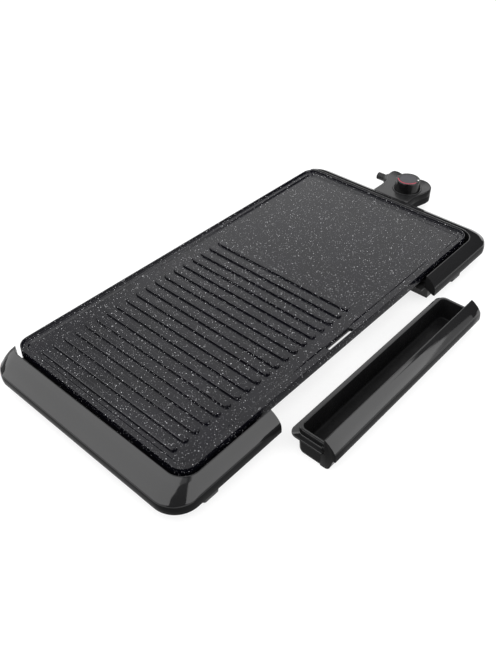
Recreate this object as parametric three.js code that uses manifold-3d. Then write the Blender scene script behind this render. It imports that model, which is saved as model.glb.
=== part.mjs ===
// Electric table grill with a ribbed and flat cast plate, end frames, a drip tray and a plug-in controller.
// Millimetres, +Z up. X runs along the plate towards the controller, -Y is the side of the drip tray.

import * as THREE from "three";
import { mergeVertices } from "three/addons/utils/BufferGeometryUtils.js";
import Module from "manifold-3d";

const wasm = await Module();
wasm.setup();

// Plate
const plateLength = 508;
const plateWidth = 257.1;
const plateCornerRadius = 15.5;
const crestHeight = 41.5;
const crestWidth = 1.3;
const crestChamfer = 0.4;
const ledgeStart = 2.6;
const ledgeEnd = 7;
const ledgeDepth = 2.8;
const floorInset = 8.8;
const floorDepth = 5;
const floorThickness = 3;
const skirtDepth = 12;
const skirtThickness = 2.6;
const skirtDraft = 0.6;

// Ribs of the left part of the plate; the pitch grows slowly from left to right
const ribCount = 19;
const ribWidth = 7.8;
const ribHeight = 2.4;
const ribCrownWidth = 5.2;
const ribFirstInset = 17.4;
const ribPitch = 14.25;
const ribPitchGrowth = 0.08;
const ribEndInset = 27.4;

// Gutter, drain slot and its funnel along the front edge of the plate
const gutterFrontInset = 2.9;
const gutterRearInset = 12.4;
const gutterRiserRun = 0.9;
const gutterDepth = 6.4;
const gutterEndDepth = 5.1;
const gutterEndInset = 44;
const gutterRampRun = 24;
const gutterPadDepth = 9.3;
const slotLength = 44;
const slotWidth = 5.4;
const slotInset = 7.7;
const slotCentreX = -10;
const funnelMargin = 5;
const funnelDepth = 7.6;
const dripLipWall = 1.8;

// Heating element and the rail that holds it
const tubeRadius = 4;
const railHalfWidth = 7;
const railHeight = 4.6;
const fitGap = 0.3;
const loopFrontInset = 56.5;
const loopRearInset = 52.5;
const loopLeftInset = 48;
const loopRightInset = 79;
const loopBend = 22;
const terminalBend = 12;

// Terminals, their guard and the probe well
const socketCentreY = 6.5;
const socketHeight = 22;
const pinSpacing = 24;
const pinRadius = 2.5;
const pinTipInset = 8;
const pinLength = 36;
const bushRadius = 5.2;
const bushLength = 14;
const bushEndInset = 33;
const guardInset = 4;
const guardLength = 36;
const guardHalfWidth = 21;
const guardBottom = 14.6;
const guardSheet = 1;
const guardFlange = 9;
const wellHalfWidth = 5.5;
const wellLength = 42;
const wellEndInset = 48;
const wellDrop = 4.5;
const probeRadius = 2.5;
const probeTipInset = 82;

// End frames: section rows of outward offset and height over the table
const frameBottom = 17;
const frameLip = 39.1;
const frameGap = 5.5;
const frameLipRadius = 20.5;
const frameOuterRadius = 28;
const frameSideReach = 25.3;
const frameFrontReach = 14.8;
const frameRearReach = 0.8;
const frameWall = 2.5;
const frameRearCut = 0.6;
const armLength = 112;
const frameSideShares = [0, 0.045, 0.06, 0.2, 0.36, 0.64, 0.86, 0.95, 0.985, 1, 0.99];
const frameFrontShares = [0, 0.075, 0.09, 0.2, 0.33, 0.63, 0.85, 0.92, 0.96, 1, 1];
const frameHeightShares = [1, 1, 0.99, 0.955, 0.905, 0.75, 0.575, 0.5, 0.4, 0.2, 0];
const frameRadiusShares = [0, 0.05, 0.06, 0.2, 0.35, 0.65, 0.9, 0.95, 0.98, 1, 1];

// Base mouldings under the ends of the plate
const deckTop = 23;
const deckThickness = 2.5;
const deckSideOverhang = 18.5;
const deckFrontOverhang = 15.4;
const deckRearInset = 5;
const deckCorner = 12;
const deckLength = 103;
const guideThickness = 2.5;
const guideBottom = 1.5;
const guideFront = 7;
const guideDepth = 52;
const guideReturn = 22;
const rearWallBottom = 12;
const ledgeReach = 12.6;
const ledgeThickness = 2.5;
const ledgeTop = 19.7;
const ledgeFront = 4.4;
const ledgeLength = 44;
const legLength = 22;
const legDepth = 14;
const legTaper = 1;
const leftLegInset = 8.6;
const rightLegInset = 33;
const rearLegInset = 14;
const padHeight = 2;
const padInset = 1;
const socketCutLength = 84;
const socketCutHalfWidth = 27;
const wellCutLength = 112;
const wellCutHalfWidth = 9;

// Screws
const screwRadius = 2;
const screwHole = 2.2;
const screwHeadRadius = 4;
const screwHeadHeight = 2.4;
const screwRecess = 2.4;
const screwRecessDepth = 1.2;
const screwSink = 8;
const bossRadius = 6;
const bossJoint = 27.5;
const plateScrewEndInset = 72;
const plateScrewSideInset = 28.5;
const frameScrewOffset = 13.5;
const frameBossRadius = 4;
const frameScrewY = 72;
const armScrewInset = 68;
const armScrewOffset = 9.6;

// Drip tray; its rest place is drawn out in front of the plate
const trayTravel = 62;
const trayPanelGap = 4;
const trayBodyClearance = 0.4;
const trayPanelBottom = 17.4;
const trayRimTop = 28.7;
const trayRimEndInset = 3.4;
const trayRimRear = -29.6;
const trayRimCorner = 8;
const trayRimWidth = 2.3;
const trayFlangeTop = 22;
const trayFlangeThickness = 2;
const trayFlangeEndReach = 2.8;
const trayFlangeRear = -35.2;
const trayFlangeCorner = 9;
const trayBodyRear = -26.4;
const trayBodyTaper = 1.6;
const trayBodyCorner = 6;
const trayBodyEdge = 4;
const trayBodyFront = 14.2;
const trayFloor = 2.2;
const trayInnerTaper = 3;
const trayMouthFront = 3;

// Controller
const controllerTop = 31.5;
const controllerBottom = 11.5;
const controllerEdge = 1.6;
const tongueOffset = 9;
const tongueFront = -22;
const tongueRear = 35;
const tongueClearance = 1;
const tongueCorner = 3;
const housingOffset = 45;
const housingLength = 49.3;
const housingFront = -27;
const housingDepth = 70.5;
const noseInset = 28;
const noseHalfWidth = 19;
const noseHalfHeight = 6;
const noseCorner = 2;
const contactBore = 3.7;
const contactOuter = 3.4;
const contactInner = 2.8;
const contactLength = 22;
const contactSeat = 26;
const probeSeat = 14;

// Knob
const knobOffset = 58;
const knobY = 0;
const knobRadius = 18;
const knobTopRadius = 16.2;
const knobHeight = 15.2;
const knobEdge = 1.1;
const knobClearance = 0.4;
const knobDiscRadius = 12.4;
const knobDiscDepth = 0.8;
const knobArcInner = 13;
const knobArcOuter = 14.8;
const knobArcStart = 112;
const knobArcSweep = 150;
const knobDotRadius = 1.15;
const knobDotPlace = 13.8;
const knobDotAngle = -66;
const knobShaftRadius = 3;
const knobShaftShare = 0.7;
const knobCollarRadius = 20.5;
const knobCollarHeight = 1.2;
const knobGap = 0.4;

// Strain relief
const reliefOffset = 76;
const reliefHeight = 22.5;
const reliefCollarRadius = 7;
const reliefCollarLength = 6;
const reliefSleeveRadius = 5;
const reliefSleeveLength = 18;
const reliefBore = 3.2;
const reliefBoreLength = 20;
const reliefRibs = 5;
const reliefRibDepth = 1.1;
const reliefRoot = 4;

// How finely round forms are divided
const cornerSteps = 6;
const ribEndSteps = 5;
const roundSteps = 16;
const smallRoundSteps = 10;
const fineRoundSteps = 28;
const tubeSides = 6;
const tubeSteps = 52;
const cutOver = 1;

const plateHalfX = plateLength / 2;
const plateHalfY = plateWidth / 2;
const undersideHeight = crestHeight - floorDepth - floorThickness;
const deckBottom = deckTop - deckThickness;
const armEnd = plateHalfX - armLength;
const deckInnerEnd = plateHalfX - deckLength;
const armScrewX = plateHalfX - armScrewInset;
const trayPanelEnd = armEnd - trayPanelGap;
const trayRimEnd = trayPanelEnd - trayRimEndInset;
const trayFlangeEnd = trayPanelEnd + trayFlangeEndReach;
const tongueStart = plateHalfX + tongueOffset;
const housingStart = plateHalfX + housingOffset;
const noseStart = plateHalfX - noseInset;
const knobX = plateHalfX + knobOffset;
const reliefX = plateHalfX + reliefOffset;
const controllerSplit = (controllerTop + controllerBottom) / 2;
const knobShaftLength = (controllerTop - controllerSplit) * knobShaftShare;

// Solids

function solid(geometry) {
  const plain = geometry.index ? geometry.toNonIndexed() : geometry.clone();
  plain.deleteAttribute("normal");
  plain.deleteAttribute("uv");
  const merged = mergeVertices(plain, 1e-4);
  const triVerts = new Uint32Array(merged.index.array);
  const vertProperties = merged.attributes.position.array;
  const made = new wasm.Manifold(new wasm.Mesh({ numProp: 3, vertProperties, triVerts }));
  if (made.volume() >= 0) return made;
  for (let i = 0; i < triVerts.length; i += 3) {
    [triVerts[i + 1], triVerts[i + 2]] = [triVerts[i + 2], triVerts[i + 1]];
  }
  return new wasm.Manifold(new wasm.Mesh({ numProp: 3, vertProperties, triVerts }));
}

function geometryOf(body) {
  const mesh = body.getMesh();
  const positions = new Float32Array(mesh.numVert * 3);
  for (let i = 0; i < mesh.numVert; i += 1) {
    const start = i * mesh.numProp;
    positions.set(mesh.vertProperties.subarray(start, start + 3), i * 3);
  }
  const geometry = new THREE.BufferGeometry();
  geometry.setAttribute("position", new THREE.BufferAttribute(positions, 3));
  geometry.setIndex(new THREE.BufferAttribute(new Uint32Array(mesh.triVerts), 1));
  const flat = geometry.toNonIndexed();
  flat.computeVertexNormals();
  return flat;
}

// A closed loft through rings of equally many points; the first and the last ring are convex and capped.
function loft(rings) {
  const count = rings[0].length;
  const positions = [];
  for (const ring of rings) for (const point of ring) positions.push(...point);
  const index = [];
  for (let r = 0; r + 1 < rings.length; r += 1) {
    for (let i = 0; i < count; i += 1) {
      const a = r * count + i;
      const b = r * count + ((i + 1) % count);
      index.push(a, b, b + count);
      index.push(a, b + count, a + count);
    }
  }
  const last = (rings.length - 1) * count;
  for (let i = 1; i + 1 < count; i += 1) {
    index.push(0, i + 1, i);
    index.push(last, last + i, last + i + 1);
  }
  const geometry = new THREE.BufferGeometry();
  geometry.setAttribute("position", new THREE.Float32BufferAttribute(positions, 3));
  geometry.setIndex(index);
  return solid(geometry);
}

// A ring with round corners between x0..x1 and y0..y1 at height z; radii in the order -x-y, +x-y, +x+y, -x+y.
function roundedRing(x0, x1, y0, y1, radii, z) {
  const r = Array.isArray(radii) ? radii : [radii, radii, radii, radii];
  const corners = [
    [x0 + r[0], y0 + r[0], r[0], Math.PI],
    [x1 - r[1], y0 + r[1], r[1], Math.PI * 1.5],
    [x1 - r[2], y1 - r[2], r[2], 0],
    [x0 + r[3], y1 - r[3], r[3], Math.PI / 2],
  ];
  const ring = [];
  for (const [cx, cy, radius, start] of corners) {
    for (let i = 0; i <= cornerSteps; i += 1) {
      const angle = start + (i / cornerSteps) * (Math.PI / 2);
      ring.push([cx + radius * Math.cos(angle), cy + radius * Math.sin(angle), z]);
    }
  }
  return ring;
}

function box(x0, x1, y0, y1, z0, z1) {
  const geometry = new THREE.BoxGeometry(x1 - x0, y1 - y0, z1 - z0);
  geometry.translate((x0 + x1) / 2, (y0 + y1) / 2, (z0 + z1) / 2);
  return solid(geometry);
}

function roundedBlock(x0, x1, y0, y1, radius, z0, z1) {
  return loft([roundedRing(x0, x1, y0, y1, radius, z0), roundedRing(x0, x1, y0, y1, radius, z1)]);
}

// An upright cylinder between two heights.
function post(x, y, radius, z0, z1, sides = roundSteps) {
  const geometry = new THREE.CylinderGeometry(radius, radius, z1 - z0, sides);
  geometry.rotateX(Math.PI / 2);
  geometry.translate(x, y, (z0 + z1) / 2);
  return solid(geometry);
}

// A cylinder along X between two places.
function bar(x0, x1, y, z, radius, sides = roundSteps) {
  const geometry = new THREE.CylinderGeometry(radius, radius, x1 - x0, sides);
  geometry.rotateZ(Math.PI / 2);
  geometry.translate((x0 + x1) / 2, y, z);
  return solid(geometry);
}

// A profile of (y, z) points extruded along X.
function alongX(points, x0, x1) {
  const shape = new THREE.Shape(points.map(([y, z]) => new THREE.Vector2(y, z)));
  const geometry = new THREE.ExtrudeGeometry(shape, { depth: x1 - x0, bevelEnabled: false });
  geometry.applyMatrix4(new THREE.Matrix4().set(0, 0, 1, x0, 1, 0, 0, 0, 0, 1, 0, 0, 0, 0, 0, 1));
  return solid(geometry);
}

// A profile of (radius, height) points turned about the upright axis.
function turned(points, steps = fineRoundSteps) {
  return new THREE.LatheGeometry(points.map(([r, h]) => new THREE.Vector2(r, h)), steps).rotateX(Math.PI / 2);
}

function join(bodies) {
  return bodies.reduce((whole, body) => whole.add(body));
}

// Scene

const grill = new THREE.Group();
const trayGroup = new THREE.Group();
const controllerGroup = new THREE.Group();
const knobGroup = new THREE.Group();
grill.add(trayGroup);
grill.add(controllerGroup);
controllerGroup.add(knobGroup);

const looks = {
  coated: { color: 0x2b2b2d, roughness: 0.55, metalness: 0.2 },
  gloss: { color: 0x18181a, roughness: 0.15, metalness: 0 },
  matte: { color: 0x141414, roughness: 0.75, metalness: 0 },
  rubber: { color: 0x0d0d0d, roughness: 0.95, metalness: 0 },
  steel: { color: 0x9a9b9d, roughness: 0.35, metalness: 1 },
  brass: { color: 0xb8923e, roughness: 0.3, metalness: 1 },
  ceramic: { color: 0xe6e1d6, roughness: 0.5, metalness: 0 },
  grey: { color: 0x606062, roughness: 0.35, metalness: 0 },
  red: { color: 0x9c2633, roughness: 0.4, metalness: 0 },
  white: { color: 0xf2f2f0, roughness: 0.5, metalness: 0 },
};

function place(parent, name, body, look) {
  const geometry = body.isBufferGeometry ? body : geometryOf(body);
  const mesh = new THREE.Mesh(geometry, new THREE.MeshStandardMaterial(looks[look]));
  mesh.name = name;
  parent.add(mesh);
  return mesh;
}

// Plate

function plateRing(inset, depth) {
  const x = plateHalfX - inset;
  const y = plateHalfY - inset;
  const radius = Math.max(plateCornerRadius - inset, plateCornerRadius / 4);
  return roundedRing(-x, x, -y, y, radius, crestHeight - depth);
}

function rib(x) {
  const rows = [
    [ribWidth / 2, floorDepth + cutOver],
    [(ribWidth + ribCrownWidth) / 4 + ribHeight / 6, floorDepth - ribHeight * 0.75],
    [ribCrownWidth / 2, floorDepth - ribHeight],
  ];
  const endCentre = plateHalfY - ribEndInset - ribWidth / 2;
  return loft(
    rows.map(([half, depth]) => {
      const ring = [];
      for (const end of [-1, 1]) {
        for (let i = 0; i <= ribEndSteps; i += 1) {
          const angle = (i / ribEndSteps) * Math.PI + (end < 0 ? Math.PI : 0);
          const y = end * endCentre + half * Math.sin(angle);
          ring.push([x + half * Math.cos(angle), y, crestHeight - depth]);
        }
      }
      return ring;
    }),
  );
}

function gutter() {
  const front = -plateHalfY;
  const section = (x, depth) => {
    const bottom = crestHeight - depth;
    const top = crestHeight - ledgeDepth + cutOver;
    return [
      [x, front + gutterFrontInset, top],
      [x, front + gutterFrontInset + gutterRiserRun / 2, bottom],
      [x, front + gutterRearInset - gutterRiserRun, bottom],
      [x, front + gutterRearInset, Math.max(crestHeight - floorDepth, bottom)],
      [x, front + gutterRearInset, top],
    ];
  };
  const end = plateHalfX - gutterEndInset;
  return loft([
    section(-end, ledgeDepth + fitGap),
    section(-end + gutterRampRun, gutterEndDepth),
    section(slotCentreX - slotLength / 2 - funnelMargin, gutterDepth),
    section(slotCentreX + slotLength / 2 + funnelMargin, gutterDepth),
    section(end - gutterRampRun, gutterEndDepth),
    section(end, ledgeDepth + fitGap),
  ]);
}

function slotBlock(margin, z0, z1) {
  const y = -plateHalfY + slotInset;
  const halfX = slotLength / 2 + margin;
  const halfY = slotWidth / 2 + margin;
  return roundedBlock(slotCentreX - halfX, slotCentreX + halfX, y - halfY, y + halfY, halfY * 0.95, z0, z1);
}

function funnel() {
  const top = crestHeight - floorDepth + cutOver / 5;
  const bottom = crestHeight - funnelDepth;
  const y0 = -plateHalfY + slotInset - slotWidth / 2;
  const y1 = -plateHalfY + gutterRearInset + gutterRiserRun / 2;
  const x0 = slotCentreX - slotLength / 2;
  const x1 = slotCentreX + slotLength / 2;
  const round = slotWidth / 2;
  return loft([
    roundedRing(x0, x1, y0, y0 + slotWidth, round * 0.9, bottom),
    roundedRing(x0 - funnelMargin, x1 + funnelMargin, y0 - slotWidth / 8, y1, round, top),
  ]);
}

// The loop of the heating element, from one terminal to the other.
function elementPath(withTerminals) {
  const z = undersideHeight - railHeight;
  const front = -plateHalfY + loopFrontInset;
  const rear = plateHalfY - loopRearInset;
  const left = -plateHalfX + loopLeftInset;
  const right = plateHalfX - loopRightInset;
  const yA = socketCentreY - pinSpacing / 2;
  const yB = socketCentreY + pinSpacing / 2;
  const path = new THREE.CurvePath();
  const at = (x, y, height = z) => new THREE.Vector3(x, y, height);
  const line = (a, b) => path.add(new THREE.LineCurve3(a, b));
  const bend = (a, b, c) => path.add(new THREE.QuadraticBezierCurve3(a, b, c));
  const end = plateHalfX - bushEndInset - bushLength - fitGap;
  if (withTerminals) {
    line(at(end, yA, socketHeight), at(end - terminalBend / 2, yA, socketHeight));
    path.add(
      new THREE.CubicBezierCurve3(
        at(end - terminalBend / 2, yA, socketHeight),
        at(end - terminalBend, yA, socketHeight),
        at(right + terminalBend * 1.6, yA),
        at(right + terminalBend, yA),
      ),
    );
    bend(at(right + terminalBend, yA), at(right, yA), at(right, yA - terminalBend));
  }
  line(at(right, yA - terminalBend), at(right, front + loopBend));
  bend(at(right, front + loopBend), at(right, front), at(right - loopBend, front));
  line(at(right - loopBend, front), at(left + loopBend, front));
  bend(at(left + loopBend, front), at(left, front), at(left, front + loopBend));
  line(at(left, front + loopBend), at(left, rear - loopBend));
  bend(at(left, rear - loopBend), at(left, rear), at(left + loopBend, rear));
  line(at(left + loopBend, rear), at(right - loopBend, rear));
  bend(at(right - loopBend, rear), at(right, rear), at(right, rear - loopBend));
  line(at(right, rear - loopBend), at(right, yB + terminalBend));
  if (withTerminals) {
    bend(at(right, yB + terminalBend), at(right, yB), at(right + terminalBend, yB));
    path.add(
      new THREE.CubicBezierCurve3(
        at(right + terminalBend, yB),
        at(right + terminalBend * 1.6, yB),
        at(end - terminalBend, yB, socketHeight),
        at(end - terminalBend / 2, yB, socketHeight),
      ),
    );
    line(at(end - terminalBend / 2, yB, socketHeight), at(end, yB, socketHeight));
  }
  return path;
}

// A body swept along a path; the section's first number runs downwards, the second across.
function swept(section, path) {
  const shape = new THREE.Shape(section.map(([down, across]) => new THREE.Vector2(down, across)));
  const settings = { steps: tubeSteps, bevelEnabled: false, extrudePath: path };
  return solid(new THREE.ExtrudeGeometry(shape, settings));
}

function tube(radius) {
  const section = [];
  for (let i = 0; i < tubeSides; i += 1) {
    const angle = ((i + 0.5) / tubeSides) * Math.PI * 2;
    section.push([radius * Math.cos(angle), radius * Math.sin(angle)]);
  }
  return swept(section, elementPath(true));
}

function rail() {
  const section = [
    [-railHeight - cutOver, -railHalfWidth],
    [0, -railHalfWidth],
    [0, railHalfWidth],
    [-railHeight - cutOver, railHalfWidth],
  ];
  return swept(section, elementPath(false)).subtract(tube(tubeRadius + fitGap));
}

const plateScrewX = plateHalfX - plateScrewEndInset;
const plateScrewY = plateHalfY - plateScrewSideInset;
const plateScrewPlaces = [
  ["left_front", -plateScrewX, -plateScrewY],
  ["left_rear", -plateScrewX, plateScrewY],
  ["right_front", plateScrewX, -plateScrewY],
  ["right_rear", plateScrewX, plateScrewY],
];
const wellEnd = plateHalfX - wellEndInset;
const guardScrewX = plateHalfX - guardInset - guardLength / 2;
const guardScrewYs = [-1, 1].map((side) => socketCentreY + side * (guardHalfWidth + guardFlange / 2));

let plate = loft([
  plateRing(floorInset, floorDepth),
  plateRing(ledgeEnd, ledgeDepth),
  plateRing(ledgeStart, ledgeDepth),
  plateRing(crestWidth, 0),
  plateRing(crestChamfer, 0),
  plateRing(0, crestChamfer),
  plateRing(-skirtDraft, skirtDepth),
  plateRing(skirtThickness - skirtDraft, skirtDepth),
  plateRing(skirtThickness + skirtDraft, floorDepth + floorThickness),
]);
for (let i = 0; i < ribCount; i += 1) {
  plate = plate.add(rib(-plateHalfX + ribFirstInset + i * ribPitch + (ribPitchGrowth * i * (i - 1)) / 2));
}
const padEnd = plateHalfX - gutterEndInset + gutterRampRun / 2;
plate = plate.add(
  box(
    -padEnd,
    padEnd,
    -plateHalfY + skirtThickness - skirtDraft,
    -plateHalfY + gutterRearInset + skirtThickness,
    crestHeight - gutterPadDepth,
    undersideHeight + cutOver,
  ),
);
plate = plate.add(slotBlock(dripLipWall, crestHeight - skirtDepth, undersideHeight + cutOver));
plate = plate.subtract(gutter()).subtract(funnel());
plate = plate.subtract(slotBlock(0, crestHeight - skirtDepth - cutOver, crestHeight));
plate = plate.add(rail());
for (const [, x, y] of plateScrewPlaces) {
  plate = plate.add(post(x, y, bossRadius, bossJoint, undersideHeight + cutOver));
  plate = plate.subtract(post(x, y, screwHole, bossJoint - cutOver, undersideHeight - cutOver / 2));
}
plate = plate.add(
  box(
    wellEnd - wellLength,
    wellEnd,
    socketCentreY - wellHalfWidth,
    socketCentreY + wellHalfWidth,
    socketHeight - wellDrop,
    undersideHeight + cutOver,
  ),
);
const probeTip = plateHalfX - probeTipInset;
const probeBore = probeRadius + fitGap;
plate = plate.subtract(
  bar(probeTip - cutOver * 2, wellEnd + cutOver, socketCentreY, socketHeight, probeBore, smallRoundSteps),
);
const guardTop = undersideHeight - guardSheet;
for (const y of guardScrewYs) {
  plate = plate.add(post(guardScrewX, y, bossRadius * 0.75, guardTop, undersideHeight + cutOver));
  plate = plate.subtract(post(guardScrewX, y, screwHole, guardTop - cutOver, undersideHeight + cutOver / 2));
}
place(grill, "grill_plate", plate, "coated");

// Heating element

place(grill, "heating_element", tube(tubeRadius), "steel");

const terminalPlaces = [
  ["front", socketCentreY - pinSpacing / 2],
  ["rear", socketCentreY + pinSpacing / 2],
];
const bushEnd = plateHalfX - bushEndInset;
const pinTip = plateHalfX - pinTipInset;
for (const [name, y] of terminalPlaces) {
  const bush = bar(bushEnd - bushLength, bushEnd, y, socketHeight, bushRadius).subtract(
    bar(bushEnd - bushLength - cutOver, bushEnd + cutOver, y, socketHeight, pinRadius + fitGap),
  );
  place(grill, "terminal_bush_" + name, bush, "ceramic");
  const taper = pinRadius * 0.6;
  const pin = turned([
    [0, 0],
    [pinRadius, 0],
    [pinRadius, pinLength - taper],
    [pinRadius - taper / 2, pinLength],
    [0, pinLength],
  ], smallRoundSteps);
  pin.rotateY(Math.PI / 2).translate(pinTip - pinLength, y, socketHeight);
  place(grill, "terminal_pin_" + name, solid(pin), "steel");
}

// Terminal guard: a sheet hat section, open towards the controller, with a back wall that carries the bushes.
function guard() {
  const top = guardTop;
  const under = top - guardSheet;
  const half = guardHalfWidth;
  const brim = guardHalfWidth + guardFlange;
  const c = socketCentreY;
  const profile = [
    [c - brim, top],
    [c - brim, under],
    [c - half, under],
    [c - half, guardBottom],
    [c + half, guardBottom],
    [c + half, under],
    [c + brim, under],
    [c + brim, top],
    [c + half - guardSheet, top],
    [c + half - guardSheet, guardBottom + guardSheet],
    [c - half + guardSheet, guardBottom + guardSheet],
    [c - half + guardSheet, top],
  ];
  const x1 = plateHalfX - guardInset;
  const x0 = x1 - guardLength;
  let body = alongX(profile, x0, x1);
  body = body.add(box(x0, x0 + guardSheet, c - half, c + half, guardBottom, top));
  for (const [, y] of terminalPlaces) {
    body = body.subtract(bar(x0 - cutOver, x0 + guardSheet + cutOver, y, socketHeight, bushRadius + fitGap));
  }
  const probeHole = probeRadius + 2 * fitGap;
  body = body.subtract(bar(x0 - cutOver, x0 + guardSheet + cutOver, c, socketHeight, probeHole));
  for (const y of guardScrewYs) {
    body = body.subtract(post(guardScrewX, y, screwHole, under - cutOver, top + cutOver));
  }
  return body;
}
place(grill, "terminal_guard", guard(), "steel");

// End frames

function frameRing(row, inset, drop) {
  const side = frameGap + frameSideReach * frameSideShares[row] - inset[0];
  const front = frameGap + frameFrontReach * frameFrontShares[row] - inset[1];
  const rear = frameGap + frameRearReach * frameSideShares[row] - inset[1];
  const radius = frameLipRadius + (frameOuterRadius - frameLipRadius) * frameRadiusShares[row];
  const z = frameBottom + (frameLip - frameBottom) * frameHeightShares[row] - drop;
  const x = plateHalfX + side;
  const round = Math.max(radius - inset[1], radius / 2);
  return roundedRing(-x, x, -plateHalfY - front, plateHalfY + rear, round, z);
}

// The wall's direction at a row, from the neighbouring rows: outward part and upward part of the unit normal.
function wallNormal(row, reach, shares) {
  const last = shares.length - 1;
  const a = Math.max(row - 1, 1);
  const b = Math.min(row + 1, last);
  const run = reach * (shares[b] - shares[a]);
  const fall = (frameLip - frameBottom) * (frameHeightShares[a] - frameHeightShares[b]);
  const length = Math.hypot(run, fall);
  return [fall / length, run / length];
}

function endFrame(side) {
  const rows = frameHeightShares.map((_, row) => row);
  const outer = loft(rows.map((row) => frameRing(row, [0, 0], 0)));
  const innerRows = rows.filter((row) => row > 2);
  const innerRings = innerRows.map((row) => {
    const [outSide] = wallNormal(row, frameSideReach, frameSideShares);
    const [outFront, up] = wallNormal(row, frameFrontReach, frameFrontShares);
    return frameRing(row, [frameWall * outSide, frameWall * outFront], frameWall * up);
  });
  const lowest = frameRing(rows.length - 1, [frameWall, frameWall], cutOver);
  const openX = plateHalfX + frameGap;
  const openY = plateHalfY + frameGap;
  const hole = (grow, z0, z1) =>
    roundedBlock(-openX - grow, openX + grow, -openY - grow, openY + grow, frameLipRadius + grow, z0, z1);
  const wallTop = frameLip + cutOver;
  let hollow = loft([...innerRings.slice(0, -1), lowest]);
  hollow = hollow.subtract(hole(frameWall, frameBottom - 2 * cutOver, wallTop));
  const far = plateHalfX * 2;
  const rear = plateHalfY - frameRearCut;
  const keep = (x) => box(side < 0 ? -far : x, side < 0 ? -x : far, -far, rear, 0, wallTop);
  hollow = hollow.intersect(keep(armEnd + frameWall));
  hollow = hollow.intersect(box(-far, far, -far, rear - frameWall, 0, wallTop));
  let frame = outer.subtract(hollow);
  frame = frame.subtract(hole(0, frameBottom - cutOver, wallTop));
  frame = frame.subtract(hole(frameWall, frameBottom - cutOver, deckTop));
  frame = frame.intersect(keep(armEnd));
  return frame.subtract(armHeel(side));
}

// The slanting cut under the end wall of the front arm.
function armHeel(side) {
  const front = -plateHalfY - frameGap;
  const profile = [
    [front + cutOver, deckTop],
    [front, deckTop],
    [front - frameFrontReach + frameWall, frameBottom],
    [front - frameFrontReach + frameWall, frameBottom - cutOver],
    [front + cutOver, frameBottom - cutOver],
  ];
  const x0 = armEnd - cutOver;
  const x1 = armEnd + frameWall + cutOver;
  return side < 0 ? alongX(profile, -x1, -x0) : alongX(profile, x0, x1);
}

// Where the frame's screws go, as [name, x, y] for one side.
function frameScrewPlaces(side) {
  const x = side * (plateHalfX + frameScrewOffset);
  return [
    ["front", x, -frameScrewY],
    ["rear", x, frameScrewY],
    ["arm", side * armScrewX, -plateHalfY - armScrewOffset],
  ];
}

function frameBosses(frame, side) {
  let body = frame;
  for (const [, x, y] of frameScrewPlaces(side)) {
    body = body.add(post(x, y, frameBossRadius, deckTop, frameLip - frameWall * 2));
    body = body.subtract(post(x, y, screwHole, deckTop - cutOver, deckTop + screwSink));
  }
  return body;
}

function tongueNotch() {
  const y0 = tongueFront - tongueClearance;
  const y1 = tongueRear + tongueClearance;
  const x0 = plateHalfX + frameGap + frameWall + cutOver / 2;
  const x1 = plateHalfX + frameGap + frameSideReach + cutOver;
  const top = controllerTop + tongueClearance;
  const outer = box(x0, x1, y0, y1, frameBottom - cutOver, top);
  const c = socketCentreY;
  const half = noseHalfWidth + tongueClearance;
  const inner = box(
    plateHalfX,
    x0 + cutOver,
    c - half,
    c + half,
    deckTop - cutOver,
    socketHeight + noseHalfHeight + tongueClearance,
  );
  return outer.add(inner);
}

place(grill, "left_end_frame", frameBosses(endFrame(-1), -1), "gloss");
place(grill, "right_end_frame", frameBosses(endFrame(1), 1).subtract(tongueNotch()), "gloss");

// Base mouldings

function legBlock(x0, y0, z0, z1, shrink) {
  return loft([
    roundedRing(x0 + shrink, x0 + legLength - shrink, y0 + shrink, y0 + legDepth - shrink, deckThickness, z0),
    roundedRing(x0, x0 + legLength, y0, y0 + legDepth, deckThickness, z1),
  ]);
}

// The low corner of each leg, as [name, x, y].
function legPlaces(side) {
  const inset = side < 0 ? leftLegInset : rightLegInset;
  const x = side < 0 ? -plateHalfX + inset : plateHalfX - inset - legLength;
  return [
    ["front", x, -plateHalfY - deckFrontOverhang],
    ["rear", x, plateHalfY - rearLegInset - legDepth],
  ];
}

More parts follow.
